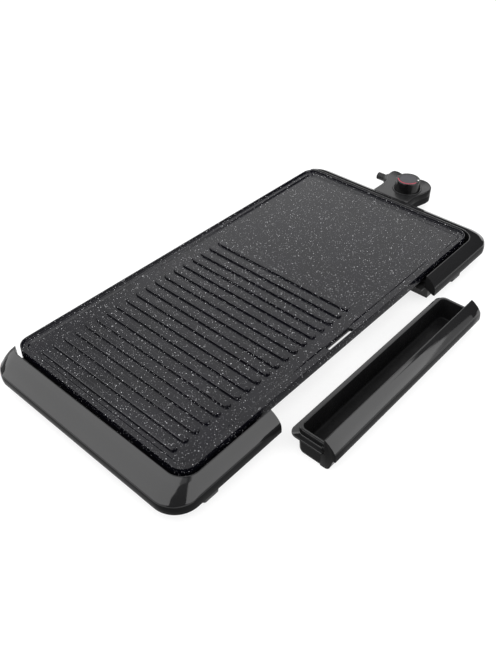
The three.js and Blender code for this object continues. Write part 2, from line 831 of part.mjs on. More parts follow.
function baseMoulding(side) {
  const inner = deckInnerEnd;
  const outer = plateHalfX + deckSideOverhang;
  const y0 = -plateHalfY - deckFrontOverhang;
  const y1 = plateHalfY - deckRearInset;
  const span = (a, b) => (side < 0 ? [-b, -a] : [a, b]);
  const [x0, x1] = span(inner, outer);
  const small = guideThickness;
  const radii = side < 0 ? [deckCorner, small, small, deckCorner] : [small, deckCorner, deckCorner, small];
  const bodies = [loft([deckBottom, deckTop].map((z) => roundedRing(x0, x1, y0, y1, radii, z)))];
  const wallTop = deckTop - deckThickness / 2;
  const [g0, g1] = span(inner, inner + guideThickness);
  const guideY = -plateHalfY - guideFront;
  bodies.push(box(g0, g1, guideY, guideY + guideDepth, guideBottom, wallTop));
  bodies.push(box(g0, g1, guideY + guideDepth - cutOver, y1 - deckCorner, rearWallBottom, wallTop));
  const [r0, r1] = span(inner, inner + guideReturn);
  bodies.push(box(r0, r1, guideY, guideY + guideThickness, guideBottom, wallTop));
  const [l0, l1] = span(inner - ledgeReach, inner + guideThickness / 2);
  const ledgeY = -plateHalfY - ledgeFront;
  bodies.push(box(l0, l1, ledgeY, ledgeY + ledgeLength, ledgeTop - ledgeThickness, ledgeTop));
  for (const [, x, y] of legPlaces(side)) {
    bodies.push(legBlock(x, y, padHeight, deckBottom + deckThickness / 2, legTaper));
  }
  const plateScrews = plateScrewPlaces.filter(([, x]) => x * side > 0);
  for (const [, x, y] of plateScrews) bodies.push(post(x, y, bossRadius, deckTop - cutOver, bossJoint));
  let base = join(bodies);
  for (const [, x, y] of plateScrews) {
    base = base.subtract(post(x, y, screwHole, deckBottom - cutOver, bossJoint + cutOver));
  }
  for (const [, x, y] of frameScrewPlaces(side)) {
    base = base.subtract(post(x, y, screwHole, deckBottom - cutOver, deckTop + cutOver));
  }
  return base;
}

function socketCut() {
  const x1 = plateHalfX + deckSideOverhang + cutOver;
  const c = socketCentreY;
  const half = socketCutHalfWidth + guardFlange / 2;
  const low = deckBottom - cutOver;
  const high = deckTop + cutOver;
  const wellCut = box(x1 - wellCutLength, x1, c - wellCutHalfWidth, c + wellCutHalfWidth, low, high);
  return box(x1 - socketCutLength, x1, c - half, c + half, low, high).add(wellCut);
}

place(grill, "left_base", baseMoulding(-1), "matte");
place(grill, "right_base", baseMoulding(1).subtract(socketCut()), "matte");

for (const side of [-1, 1]) {
  const sideName = side < 0 ? "left_" : "right_";
  for (const [name, x, y] of legPlaces(side)) {
    const inset = legTaper + padInset;
    const pad = roundedBlock(
      x + inset,
      x + legLength - inset,
      y + inset,
      y + legDepth - inset,
      deckThickness,
      0,
      padHeight,
    );
    place(grill, "foot_pad_" + sideName + name, pad, "rubber");
  }
}

// Screws: heads below, shanks up

function screw(x, y, seat, length) {
  const body = post(x, y, screwRadius, seat, seat + length, smallRoundSteps);
  const head = post(x, y, screwHeadRadius, seat - screwHeadHeight, seat, smallRoundSteps);
  const low = seat - screwHeadHeight;
  const half = screwRecess / 4;
  const reach = screwHeadRadius;
  const slot = box(x - reach, x + reach, y - half, y + half, low - cutOver, low + screwRecessDepth);
  return body.add(head).subtract(slot);
}

const plateScrewLength = bossJoint - deckBottom + screwSink / 2;
for (const [name, x, y] of plateScrewPlaces) {
  place(grill, "plate_screw_" + name, screw(x, y, deckBottom, plateScrewLength), "steel");
}
for (const side of [-1, 1]) {
  const sideName = side < 0 ? "left_" : "right_";
  for (const [name, x, y] of frameScrewPlaces(side)) {
    const body = screw(x, y, deckBottom, deckThickness + screwSink * 0.8);
    place(grill, "frame_screw_" + sideName + name, body, "steel");
  }
}
guardScrewYs.forEach((y, i) => {
  const seat = undersideHeight - 2 * guardSheet;
  place(grill, "guard_screw_" + (i + 1), screw(guardScrewX, y, seat, 2 * guardSheet), "steel");
});

// Drip tray, modelled where it sits when it is pushed in, and then drawn out

const trayFrontY = -plateHalfY;
const trayY = (offset) => trayFrontY - offset;

// The front panel's section is the section of the frame's front arm.
function trayPanelProfile() {
  const outerPoints = frameHeightShares
    .map((share, row) => [
      trayY(frameGap + frameFrontReach * frameFrontShares[row]),
      frameBottom + (frameLip - frameBottom) * share,
    ])
    .slice(0, -1);
  const foot = [trayY(frameGap + frameFrontReach), trayPanelBottom];
  return [
    [trayY(frameGap), frameLip],
    ...outerPoints.slice(1),
    foot,
    [trayY(frameGap + frameFrontReach - frameWall), trayPanelBottom],
    [trayY(trayBodyFront), trayBodyEdge],
    [trayY(trayBodyFront - trayBodyTaper), trayBodyClearance + trayBodyTaper],
    [trayY(trayBodyFront - trayBodyEdge), trayBodyClearance],
    [trayY(trayMouthFront), trayBodyClearance],
    [trayY(trayMouthFront), trayRimTop - cutOver],
    [trayY(frameGap), trayRimTop - cutOver],
  ];
}

function dripTray() {
  const panel = alongX(trayPanelProfile(), -trayPanelEnd, trayPanelEnd);
  const front = trayY(trayBodyFront - trayBodyEdge);
  const bodyRing = (inset, z) =>
    roundedRing(
      -trayPanelEnd + inset / 4,
      trayPanelEnd - inset / 4,
      front,
      trayY(trayBodyRear) - inset,
      [fitGap, fitGap, trayBodyCorner, trayBodyCorner],
      z,
    );
  const body = loft([
    bodyRing(trayBodyEdge, trayBodyClearance),
    bodyRing(trayBodyTaper, trayBodyClearance + trayBodyEdge * 0.6),
    bodyRing(0, trayFlangeTop - trayFlangeThickness / 2),
  ]);
  const rimFront = trayY(frameGap);
  const flange = roundedBlock(
    -trayFlangeEnd,
    trayFlangeEnd,
    rimFront,
    trayY(trayFlangeRear),
    [fitGap, fitGap, trayFlangeCorner, trayFlangeCorner],
    trayFlangeTop - trayFlangeThickness,
    trayFlangeTop,
  );
  const wallRadii = [fitGap, fitGap, trayRimCorner, trayRimCorner];
  const wall = roundedBlock(
    -trayRimEnd,
    trayRimEnd,
    rimFront,
    trayY(trayRimRear),
    wallRadii,
    trayFlangeTop - trayFlangeThickness,
    trayRimTop,
  );
  const mouthRing = (inset, z) =>
    roundedRing(
      -trayRimEnd + trayRimWidth + inset,
      trayRimEnd - trayRimWidth - inset,
      trayY(trayMouthFront) + inset / 2,
      trayY(trayRimRear) - trayRimWidth - inset,
      [trayRimCorner / 4, trayRimCorner / 4, trayRimCorner - trayRimWidth, trayRimCorner - trayRimWidth],
      z,
    );
  const floor = trayBodyClearance + trayFloor;
  const mouth = loft([mouthRing(trayInnerTaper, floor), mouthRing(0, frameLip + cutOver)]);
  return join([panel, body, flange, wall]).subtract(mouth);
}

place(trayGroup, "drip_tray", dripTray(), "gloss");
trayGroup.position.y = -trayTravel;

// Controller

// The housing's outline, as shares of its length and depth from its front left corner.
const housingShares = [
  [0, 0.075],
  [0.2, 0.055],
  [0.4, 0.02],
  [0.55, 0],
  [0.68, 0.005],
  [0.8, 0.045],
  [0.9, 0.11],
  [0.975, 0.2],
  [1, 0.29],
  [0.985, 0.36],
  [0.95, 0.42],
  [0.91, 0.5],
  [0.895, 0.62],
  [0.9, 0.76],
  [0.93, 0.84],
  [0.94, 0.9],
  [0.91, 0.97],
  [0.82, 1],
  [0.64, 0.995],
  [0.48, 0.955],
  [0.25, 0.885],
  [0, 0.87],
];

function controllerShape() {
  const shape = new THREE.Shape();
  const edge = controllerEdge;
  shape.moveTo(tongueStart + edge, tongueFront + edge);
  for (const [u, v] of housingShares) {
    const towards = new THREE.Vector2(housingStart + housingLength * u, housingFront + housingDepth * v);
    const centre = new THREE.Vector2(housingStart + housingLength / 2, housingFront + housingDepth / 2);
    const inward = centre.sub(towards);
    inward.set(Math.sign(inward.x) * Math.min(Math.abs(inward.x), edge), Math.sign(inward.y) * edge);
    if (u === 0) inward.x = 0;
    shape.lineTo(towards.x + inward.x, towards.y + inward.y);
  }
  shape.lineTo(tongueStart + tongueCorner, tongueRear - edge);
  shape.lineTo(tongueStart + edge, tongueRear - tongueCorner);
  return shape;
}

function controllerBody() {
  const depth = controllerTop - controllerBottom - 2 * controllerEdge;
  const geometry = new THREE.ExtrudeGeometry(controllerShape(), {
    depth,
    bevelEnabled: true,
    bevelSize: controllerEdge,
    bevelThickness: controllerEdge,
    bevelSegments: 2,
  });
  geometry.translate(0, 0, controllerBottom + controllerEdge);
  return solid(geometry);
}

const controllerWhole = controllerBody();
const housingEnd = housingStart + housingLength;
const shaftTop = controllerTop + cutOver * 4;
const shaftEnd = controllerTop - knobShaftLength;
const shaftHole = post(knobX, knobY, knobShaftRadius + fitGap, shaftEnd - fitGap, shaftTop);
const reliefY = housingFront + housingDepth;

function alongY(points, steps) {
  return turned(points, steps).rotateX(-Math.PI / 2).translate(reliefX, 0, reliefHeight);
}

const reliefSeat = solid(
  alongY([
    [0, reliefY - reliefRoot],
    [reliefCollarRadius + fitGap, reliefY - reliefRoot],
    [reliefCollarRadius + fitGap, reliefY + reliefRoot],
    [0, reliefY + reliefRoot],
  ], roundSteps),
);
const shellHalf = (z0, z1) =>
  controllerWhole.intersect(box(0, housingEnd + cutOver, -housingEnd, housingEnd, z0, z1));
let upperShell = shellHalf(controllerSplit, controllerTop + cutOver);
const collarTop = controllerTop + knobCollarHeight;
upperShell = upperShell.add(
  post(knobX, knobY, knobCollarRadius, controllerTop - cutOver, collarTop, fineRoundSteps),
);
upperShell = upperShell.subtract(
  post(knobX, knobY, knobRadius + knobClearance, controllerTop, shaftTop, fineRoundSteps),
);
upperShell = upperShell.subtract(shaftHole).subtract(reliefSeat);
const screwPosts = [
  [housingStart + housingLength * 0.3, housingFront + housingDepth * 0.2],
  [housingStart + housingLength * 0.75, housingFront + housingDepth * 0.72],
  [tongueStart + housingLength / 4, socketCentreY],
];
const shellSeat = controllerBottom + screwHeadHeight + screwRecessDepth;
let lowerShell = shellHalf(0, controllerSplit);
lowerShell = lowerShell.subtract(reliefSeat);
const shellUnder = controllerBottom - cutOver;
for (const [x, y] of screwPosts) {
  upperShell = upperShell.subtract(
    post(x, y, screwHole, controllerSplit - cutOver, controllerSplit + screwSink / 2),
  );
  lowerShell = lowerShell.subtract(post(x, y, screwHole, shellUnder, controllerSplit + cutOver));
  lowerShell = lowerShell.subtract(post(x, y, screwHeadRadius + fitGap, shellUnder, shellSeat));
}
place(controllerGroup, "controller_upper_shell", upperShell, "gloss");
place(controllerGroup, "controller_lower_shell", lowerShell, "gloss");
screwPosts.forEach(([x, y], i) => {
  const length = controllerSplit - shellSeat + screwSink / 4;
  place(controllerGroup, "shell_screw_" + (i + 1), screw(x, y, shellSeat, length), "steel");
});

// Contact block with its two socket contacts and the probe
const noseHigh = socketHeight + noseHalfHeight;
const noseLow = socketHeight - noseHalfHeight;
const noseRings = [noseStart, noseStart + noseCorner, tongueStart].map((x, i) => {
  const shrink = i === 0 ? noseCorner / 2 : 0;
  const y0 = socketCentreY - noseHalfWidth + shrink;
  const y1 = socketCentreY + noseHalfWidth - shrink;
  const ring = roundedRing(y0, y1, noseLow + shrink, noseHigh - shrink, noseCorner, 0);
  return ring.map(([y, z]) => [x, y, z]);
});
let nose = loft(noseRings);
for (const [, y] of terminalPlaces) {
  nose = nose.subtract(bar(noseStart - cutOver, noseStart + contactSeat, y, socketHeight, contactBore));
}
nose = nose.subtract(bar(noseStart - cutOver, noseStart + probeSeat, socketCentreY, socketHeight, probeBore));
place(controllerGroup, "contact_block", nose, "matte");
for (const [name, y] of terminalPlaces) {
  const x1 = noseStart + contactSeat - fitGap;
  const contact = bar(x1 - contactLength, x1, y, socketHeight, contactOuter).subtract(
    bar(x1 - contactLength - cutOver, x1 + cutOver, y, socketHeight, contactInner),
  );
  place(controllerGroup, "socket_contact_" + name, contact, "brass");
}
const probeLength = noseStart + probeSeat - fitGap - probeTip;
const probe = turned([
  [0, 0],
  [probeRadius * 0.6, 0],
  [probeRadius, probeRadius / 2],
  [probeRadius, probeLength],
  [0, probeLength],
], smallRoundSteps);
probe.rotateY(Math.PI / 2).translate(probeTip, socketCentreY, socketHeight);
place(controllerGroup, "probe_rod", solid(probe), "steel");

// Strain relief: a round collar and a ribbed sleeve with an open mouth
function reliefProfile() {
  const start = reliefY - reliefRoot + fitGap;
  const collarEnd = reliefY + reliefCollarLength;
  const end = collarEnd + reliefSleeveLength;
  const points = [
    [0, start],
    [reliefCollarRadius, start],
    [reliefCollarRadius, collarEnd - reliefCollarLength / 4],
    [reliefCollarRadius * 0.82, collarEnd],
    [reliefSleeveRadius, collarEnd],
  ];
  const pitch = reliefSleeveLength / (reliefRibs + 0.5);
  for (let i = 0; i < reliefRibs; i += 1) {
    const y = collarEnd + pitch * (i + 0.5);
    points.push([reliefSleeveRadius, y]);
    points.push([reliefSleeveRadius - reliefRibDepth, y + pitch * 0.1]);
    points.push([reliefSleeveRadius - reliefRibDepth, y + pitch * 0.4]);
    points.push([reliefSleeveRadius, y + pitch * 0.5]);
  }
  points.push([reliefSleeveRadius, end]);
  points.push([reliefBore, end]);
  points.push([reliefBore, end - reliefBoreLength]);
  points.push([0, end - reliefBoreLength]);
  return points;
}
place(controllerGroup, "strain_relief", solid(alongY(reliefProfile(), roundSteps)), "rubber");

// Knob, turning about its own axis
const knobBase = controllerTop + knobGap;
const knobTop = controllerTop + knobHeight;
knobGroup.position.set(knobX, knobY, 0);
const ease = knobEdge * 0.3;
let knob = solid(
  turned([
    [0, knobBase],
    [knobRadius - ease, knobBase],
    [knobRadius, knobBase + ease],
    [knobTopRadius + ease, knobTop - knobEdge],
    [knobTopRadius, knobTop - knobEdge * 0.5],
    [knobTopRadius - knobEdge * 0.5, knobTop - knobEdge * 0.12],
    [knobTopRadius - knobEdge, knobTop],
    [0, knobTop],
  ]),
);
knob = knob.add(post(0, 0, knobShaftRadius, shaftEnd, knobBase + cutOver));
const discHole = post(0, 0, knobDiscRadius, knobTop - knobDiscDepth, knobTop + cutOver, fineRoundSteps);
knob = knob.subtract(discHole);

// A flat arc band between two radii, with a margin on every side.
function arcBand(margin, z0, z1) {
  const shape = new THREE.Shape();
  const spread = margin / knobArcInner;
  const start = THREE.MathUtils.degToRad(knobArcStart) - spread;
  const end = THREE.MathUtils.degToRad(knobArcStart + knobArcSweep) + spread;
  for (let i = 0; i <= roundSteps; i += 1) {
    const angle = start + ((end - start) * i) / roundSteps;
    const point = [(knobArcOuter + margin) * Math.cos(angle), (knobArcOuter + margin) * Math.sin(angle)];
    if (i === 0) shape.moveTo(...point);
    else shape.lineTo(...point);
  }
  for (let i = roundSteps; i >= 0; i -= 1) {
    const angle = start + ((end - start) * i) / roundSteps;
    shape.lineTo((knobArcInner - margin) * Math.cos(angle), (knobArcInner - margin) * Math.sin(angle));
  }
  const geometry = new THREE.ExtrudeGeometry(shape, { depth: z1 - z0, bevelEnabled: false });
  return solid(geometry.translate(0, 0, z0));
}
const inlayBottom = knobTop - knobDiscDepth;
const inlayMargin = fitGap / 3;
knob = knob.subtract(arcBand(inlayMargin, inlayBottom, knobTop + cutOver));
const dotX = knobDotPlace * Math.cos(THREE.MathUtils.degToRad(knobDotAngle));
const dotY = knobDotPlace * Math.sin(THREE.MathUtils.degToRad(knobDotAngle));
const dotHole = knobDotRadius + inlayMargin;
knob = knob.subtract(post(dotX, dotY, dotHole, inlayBottom, knobTop + cutOver, smallRoundSteps));
place(knobGroup, "knob", knob, "matte");
const disc = post(0, 0, knobDiscRadius - inlayMargin, inlayBottom, knobTop - inlayMargin, fineRoundSteps);
place(knobGroup, "knob_disc", disc, "grey");
place(knobGroup, "knob_arc", arcBand(0, inlayBottom, knobTop - inlayMargin), "red");
place(
  knobGroup,
  "knob_pointer",
  post(dotX, dotY, knobDotRadius, inlayBottom, knobTop - inlayMargin, smallRoundSteps),
  "white",
);

// The origin is the middle of the whole part's footprint, on the table.
const part = new THREE.Group();
part.add(grill);
part.updateMatrixWorld(true);
const extent = new THREE.Box3().setFromObject(part, true);
grill.position.x = -(extent.min.x + extent.max.x) / 2;
grill.position.y = -(extent.min.y + extent.max.y) / 2;
grill.position.z = -extent.min.z;

export default part;
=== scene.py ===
"""Looks of a long electric table grill: a half-ribbed coated plate, glossy end frames, a pull-out drip tray and a
plug-in controller.

Every new piece is a surface worked out with numpy round the middle of the plate, in metres, with +Z up, and then
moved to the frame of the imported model.
"""

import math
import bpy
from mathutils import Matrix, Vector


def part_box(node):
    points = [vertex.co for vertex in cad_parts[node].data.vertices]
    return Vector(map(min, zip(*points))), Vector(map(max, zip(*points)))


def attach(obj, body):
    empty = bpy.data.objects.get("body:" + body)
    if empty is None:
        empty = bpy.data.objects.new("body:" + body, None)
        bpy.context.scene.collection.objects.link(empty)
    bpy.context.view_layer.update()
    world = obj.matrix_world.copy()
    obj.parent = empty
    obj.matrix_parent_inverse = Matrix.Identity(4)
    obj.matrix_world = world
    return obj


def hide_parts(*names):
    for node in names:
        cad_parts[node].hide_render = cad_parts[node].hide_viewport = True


bl_info = {
    "name": "Electric table grill",
    "version": (1, 0, 0),
    "blender": (4, 5, 0),
    "location": "3D View > Sidebar > Table grill",
    "description": "Builds the plate, end frames, drip tray, controller and knob of an electric table grill",
    "category": "Add Mesh",
}

import bmesh
import bpy
import numpy as np
from bpy.props import FloatProperty, FloatVectorProperty, IntProperty, PointerProperty
from bpy.types import Operator, Panel, PropertyGroup
from mathutils import Matrix, Vector

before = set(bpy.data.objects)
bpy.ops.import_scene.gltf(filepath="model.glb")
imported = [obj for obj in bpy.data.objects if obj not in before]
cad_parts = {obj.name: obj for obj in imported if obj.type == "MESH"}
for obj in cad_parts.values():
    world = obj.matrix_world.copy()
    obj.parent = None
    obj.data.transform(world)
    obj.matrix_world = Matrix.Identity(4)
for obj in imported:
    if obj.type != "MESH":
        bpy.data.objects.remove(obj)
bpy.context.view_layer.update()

MM = 0.001
plate_low, plate_high = (np.array(corner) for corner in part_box("grill_plate"))
CENTRE = (plate_low + plate_high) / 2
SKIRT_DRAFT = 0.6 * MM
HALF_X = (plate_high[0] - plate_low[0]) / 2 - SKIRT_DRAFT
HALF_Y = (plate_high[1] - plate_low[1]) / 2 - SKIRT_DRAFT
CREST = plate_high[2]
TRAY_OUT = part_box("drip_tray")


# ---------------------------------------------------------------- properties


def length(name, description, default):
    return FloatProperty(name=name, description=description, default=default, unit="LENGTH", precision=5)


def colour(name, description, default):
    return FloatVectorProperty(
        name=name, description=description, default=default, size=3, subtype="COLOR", min=0, max=1
    )


def share(name, description, default):
    return FloatProperty(name=name, description=description, default=default, min=0, max=1, subtype="FACTOR")


def angle(name, description, degrees):
    return FloatProperty(name=name, description=description, default=math.radians(degrees), subtype="ANGLE")


def strength(name, description, default):
    return FloatProperty(name=name, description=description, default=default, min=0)


class PlateSizes(PropertyGroup):
    corner: length("Corner radius", "Radius of the plate's corners, seen from above", 15.5 * MM)
    floor_depth: length("Floor depth", "How far the cooking floor lies below the crest of the rim", 5 * MM)
    ledge_depth: length("Ledge depth", "How far the ledge inside the rim lies below its crest", 2.8 * MM)
    gutter_depth: length("Gutter depth", "Depth of the front gutter at the drain slot", 6.4 * MM)
    slot_length: length("Slot length", "Length of the drain slot", 44 * MM)
    slot_width: length("Slot width", "Width of the drain slot", 5.4 * MM)
    slot_inset: length("Slot inset", "Distance of the slot's middle from the front edge", 7.7 * MM)
    slot_x: length("Slot place", "Place of the slot's middle along the plate", -10 * MM)
    rib_height: length("Rib height", "Height of a rib over the floor", 2.4 * MM)
    rib_first: length("First rib", "Distance of the first rib from the left edge", 17.4 * MM)
    rib_pitch: length("Rib pitch", "Distance between the first two ribs", 14.25 * MM)
    rib_growth: length("Pitch growth", "How much the pitch grows from one rib to the next", 0.08 * MM)
    rib_end: length("Rib end", "Distance of the ends of the ribs from the front and rear edges", 27.4 * MM)
    rib_count: IntProperty(name="Ribs", description="How many ribs the left part carries", default=19, min=1, max=40)


class FrameSizes(PropertyGroup):
    gap: length("Gap", "Width of the slit between plate and end frame", 5.5 * MM)
    lip_height: length("Lip height", "Height of the lip over the table", 39.1 * MM)
    bottom_height: length("Bottom height", "Height of the lower edge over the table", 17 * MM)
    side_reach: length("Side reach", "How far the shell comes out at the short side", 25.3 * MM)
    front_reach: length("Front reach", "How far the shell comes out at the front", 14.8 * MM)
    wall: length("Wall", "Thickness of the moulding", 2.5 * MM)
    arm_end: length("Arm end", "Distance of the arm's end from the middle of the plate", 142 * MM)


class TraySizes(PropertyGroup):
    panel_end: length("Panel end", "Half the length of the front panel", 138 * MM)
    rim_height: length("Rim height", "Height of the trough's rim over the table", 28.7 * MM)
    flange_height: length("Flange height", "Height of the flange's top over the table", 22 * MM)
    floor_height: length("Floor height", "Height of the trough's floor over the table", 2.6 * MM)


class ControllerSizes(PropertyGroup):
    top: length("Top", "Height of the top over the table", 31.5 * MM)
    split: length("Split", "Height of the line between the two shells", 21.5 * MM)
    bottom: length("Bottom", "Height of the underside over the table", 11.5 * MM)
    edge: length("Edge", "Radius of the rounded edges", 1.6 * MM)
    knob_radius: length("Knob radius", "Radius of the knob at its foot", 18 * MM)
    knob_height: length("Knob height", "Height of the knob over the controller", 15.2 * MM)
    relief_radius: length("Sleeve radius", "Radius of the cord sleeve", 5 * MM)


class Finishes(PropertyGroup):
    coat: colour("Plate coat", "Ground colour of the non-stick coat", (0.0029, 0.0028, 0.0048))
    speckle: colour("Speckles", "Colour of the fine speckles in the coat", (0.85, 0.85, 0.87))
    coat_roughness: share("Coat roughness", "Roughness of the non-stick coat", 0.2)
    gloss: colour("Glossy moulding", "Colour of the end frames, tray and controller", (0.0125, 0.0125, 0.013))
    gloss_roughness: share("Gloss roughness", "Roughness of the glossy mouldings", 0.055)
    matte: colour("Matt moulding", "Colour of the base mouldings", (0.009, 0.009, 0.009))
    rubber: colour("Rubber", "Colour of the foot pads and of the cord sleeve", (0.012, 0.012, 0.012))
    steel: colour("Steel", "Colour of screws, pins, probe and terminal guard", (0.56, 0.56, 0.57))
    element: colour("Element", "Colour of the heating element's oxidised tube", (0.16, 0.15, 0.145))
    knob_top: colour("Knob disc", "Colour of the disc on top of the knob", (0.038, 0.037, 0.043))
    knob_arc: colour("Knob arc", "Colour of the heat arc", (0.36, 0.035, 0.06))


class StageSettings(PropertyGroup):
    heading: angle("Heading", "Direction the camera looks in, from +X", 42.187)
    pitch: angle("Pitch", "Angle at which the camera looks down", 41.602)
    roll: angle("Roll", "Turn of the camera about its view", -0.366)
    place: FloatVectorProperty(
        name="Camera place",
        description="Place of the camera",
        default=(-0.53406, -0.39105, 0.5540),
        size=3,
        subtype="XYZ",
        unit="LENGTH",
    )
    lens: FloatProperty(
        name="Lens", description="Focal length for a 36 mm high picture", default=38.77, unit="CAMERA"
    )
    floor: colour("Floor", "Colour of the floor", (0.28, 0.28, 0.28))
    boxes: strength("Side boxes", "Brightness of the two soft boxes at the sides", 2.4)
    rear: strength("Rear box", "Brightness of the soft box behind", 0.7)
    sky: strength("Surround", "Strength of the surround for diffuse light", 0.15)


# ---------------------------------------------------------------- surfaces
# A surface is a pair: an array of points (n, 3) and a list of faces, each a list of point numbers.


def joined(*surfaces):
    """Several surfaces as one: their points in turn, and each one's faces shifted by the points before it."""
    points, faces, start = [], [], 0
    for more, cells in surfaces:
        points.append(more)
        faces += [np.asarray(cell) + start for cell in cells]
        start += len(more)
    return np.concatenate(points), faces


def quads(rows, cols, keep=None, closed=False):
    """Quads of a grid whose point (i, j) has the number i * cols + j; a closed grid also joins its end columns."""
    i, j = np.meshgrid(np.arange(rows - 1), np.arange(cols if closed else cols - 1), indexing="ij")
    if keep is not None:
        i, j = i[keep], j[keep]
    i, j = i.ravel(), j.ravel()
    k = (j + 1) % cols
    return np.stack([i * cols + j, i * cols + k, (i + 1) * cols + k, (i + 1) * cols + j], 1)


def sheet(grid, keep=None, closed=False, flip=False):
    """The surface of a grid of points (rows, columns, 3)."""
    rows, cols = grid.shape[:2]
    cells = quads(rows, cols, keep, closed)
    return grid.reshape(-1, 3), list(cells[:, ::-1] if flip else cells)


def carried(rings):
    """Closed rings as the rows of one surface, with the first and the last ring filled by one flat face each."""
    grid = np.stack(rings)
    rows, cols = grid.shape[:2]
    points, faces = sheet(grid, closed=True)
    return points, faces + [np.arange(cols)[::-1], (rows - 1) * cols + np.arange(cols)]


def shell(outer, inner, keep):
    """A wall between two grids of the same size: both skins where keep is true, and a band wherever a kept cell has
    no kept neighbour in the next row or, inside the grid, in the next column."""
    rows, cols = outer.shape[:2]
    count = rows * cols
    points = np.concatenate([outer.reshape(-1, 3), inner.reshape(-1, 3)])
    cells = quads(rows, cols, keep)
    faces = list(cells) + list(cells[:, ::-1] + count)
    number = np.arange(count).reshape(rows, cols)
    above = np.pad(keep, ((1, 1), (0, 0)))
    for edge, forward in ((above[1:] & ~above[:-1], True), (above[:-1] & ~above[1:], False)):
        i, j = np.nonzero(edge)
        a, b = number[i, j], number[i, j + 1]
        band = np.stack([b, a, a + count, b + count], 1)
        faces += list(band if forward else band[:, ::-1])
    side = keep[:, 1:] != keep[:, :-1]
    i, j = np.nonzero(side)
    a, b = number[i, j + 1], number[i + 1, j + 1]
    band = np.stack([a, b, b + count, a + count], 1)
    starts = keep[i, j + 1]
    faces += [cell if start else cell[::-1] for cell, start in zip(band, starts)]
    return points, faces


def filleted(points, radius, steps=5):
    """A polyline whose corners are parabolic arcs that start and end the radius, or half an edge, from them."""
    points = np.asarray(points, float)
    radius = np.broadcast_to(np.asarray(radius, float), len(points))
    out = [points[:1]]
    t = np.linspace(0, 1, steps + 1)[:, None]
    for before, corner, after, reach in zip(points[:-2], points[1:-1], points[2:], radius[1:-1]):
        a, b = before - corner, after - corner
        la, lb = np.linalg.norm(a), np.linalg.norm(b)
        start = corner + a / la * min(reach, la / 2)
        end = corner + b / lb * min(reach, lb / 2)
        out.append((1 - t) ** 2 * start + 2 * t * (1 - t) * corner + t**2 * end)
    out.append(points[-1:])
    return np.concatenate(out)


def through(points, per_span):
    """A Catmull-Rom curve through the points: each span is the cubic with the slopes of its neighbours' chords."""
    p = np.asarray(points, float)
    p = np.concatenate([2 * p[:1] - p[1:2], p, 2 * p[-1:] - p[-2:-1]])
    t = np.linspace(0, 1, per_span, endpoint=False)[None, :, None]
    a, b, c, d = (p[k : len(p) - 3 + k, None] for k in range(4))
    curve = 0.5 * (2 * b + (c - a) * t + (2 * a - 5 * b + 4 * c - d) * t**2 + (3 * b - a - 3 * c + d) * t**3)
    return np.concatenate([curve.reshape(-1, p.shape[1]), p[-2:-1]])


def turned(profile, centre, axis="z", steps=96):
    """A profile of (radius, height) turned about an axis through the centre; a radius of zero gives a fan."""
    profile = np.asarray(profile, float)
    angle = np.linspace(0, 2 * math.pi, steps, endpoint=False)
    r, h = profile[:, :1], np.broadcast_to(profile[:, 1:], (len(profile), steps))
    across, along = r * np.cos(angle), r * np.sin(angle)
    grid = np.stack([across, along, h] if axis == "z" else [along, h, across], 2)
    grid = grid + np.asarray(centre)
    if profile[0, 0] > 0:
        return sheet(grid, closed=True)
    points, faces = sheet(grid[1:-1], closed=True)
    count = len(points)
    j = np.arange(steps)
    k, last = (j + 1) % steps, count - steps
    low = np.stack([np.full(steps, count), k, j], 1)
    high = np.stack([np.full(steps, count + 1), last + j, last + k], 1)
    return np.concatenate([points, grid[0, :1], grid[-1, :1]]), faces + list(low) + list(high)


def ring(half, front, rear, front_radius, rear_radius, z, steps=12):
    """A rectangle with a quarter circle at each corner, counter-clockwise from the front left one."""
    turn = np.linspace(0, math.pi / 2, steps + 1)
    low, high = front + front_radius, rear - rear_radius
    corners = [
        (front_radius - half, low, front_radius, math.pi),
        (half - front_radius, low, front_radius, 1.5 * math.pi),
        (half - rear_radius, high, rear_radius, 0),
        (rear_radius - half, high, rear_radius, 0.5 * math.pi),
    ]
    parts = []
    for x, y, radius, start in corners:
        across, along = radius * np.cos(start + turn), radius * np.sin(start + turn)
        parts.append(np.stack([x + across, y + along, np.full(steps + 1, z)], 1))
    return np.concatenate(parts)


def placed(points):
    """From the plate's own frame, in metres from its middle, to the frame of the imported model."""
    return np.asarray(points) + [CENTRE[0], CENTRE[1], 0]


def cad_copy(node, keep):
    """The triangles of a CAD node that keep() accepts, given their middles and normals round the plate's middle, with
    equal points merged."""
    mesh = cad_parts[node].data
    mesh.calc_loop_triangles()
    points = np.zeros(len(mesh.vertices) * 3)
    mesh.vertices.foreach_get("co", points)
    points = points.reshape(-1, 3) - [CENTRE[0], CENTRE[1], 0]
    cells = np.zeros(len(mesh.loop_triangles) * 3, int)
    mesh.loop_triangles.foreach_get("vertices", cells)
    cells = cells.reshape(-1, 3)
    a, b, c = (points[cells[:, k]] for k in range(3))
    normal = np.cross(b - a, c - a)
    normal /= np.maximum(np.linalg.norm(normal, axis=1, keepdims=True), 1e-12)
    cells = cells[keep((a + b + c) / 3, normal)]
    used, cells = np.unique(cells, return_inverse=True)
    merged, same = np.unique(np.round(points[used], 7), axis=0, return_inverse=True)
    cells = same.ravel()[cells.reshape(-1, 3)]
    whole = (cells[:, 0] != cells[:, 1]) & (cells[:, 1] != cells[:, 2]) & (cells[:, 0] != cells[:, 2])
    return merged, list(cells[whole])


def add_object(name, data):
    made = bpy.data.objects.new(name, data)
    bpy.context.scene.collection.objects.link(made)
    return made


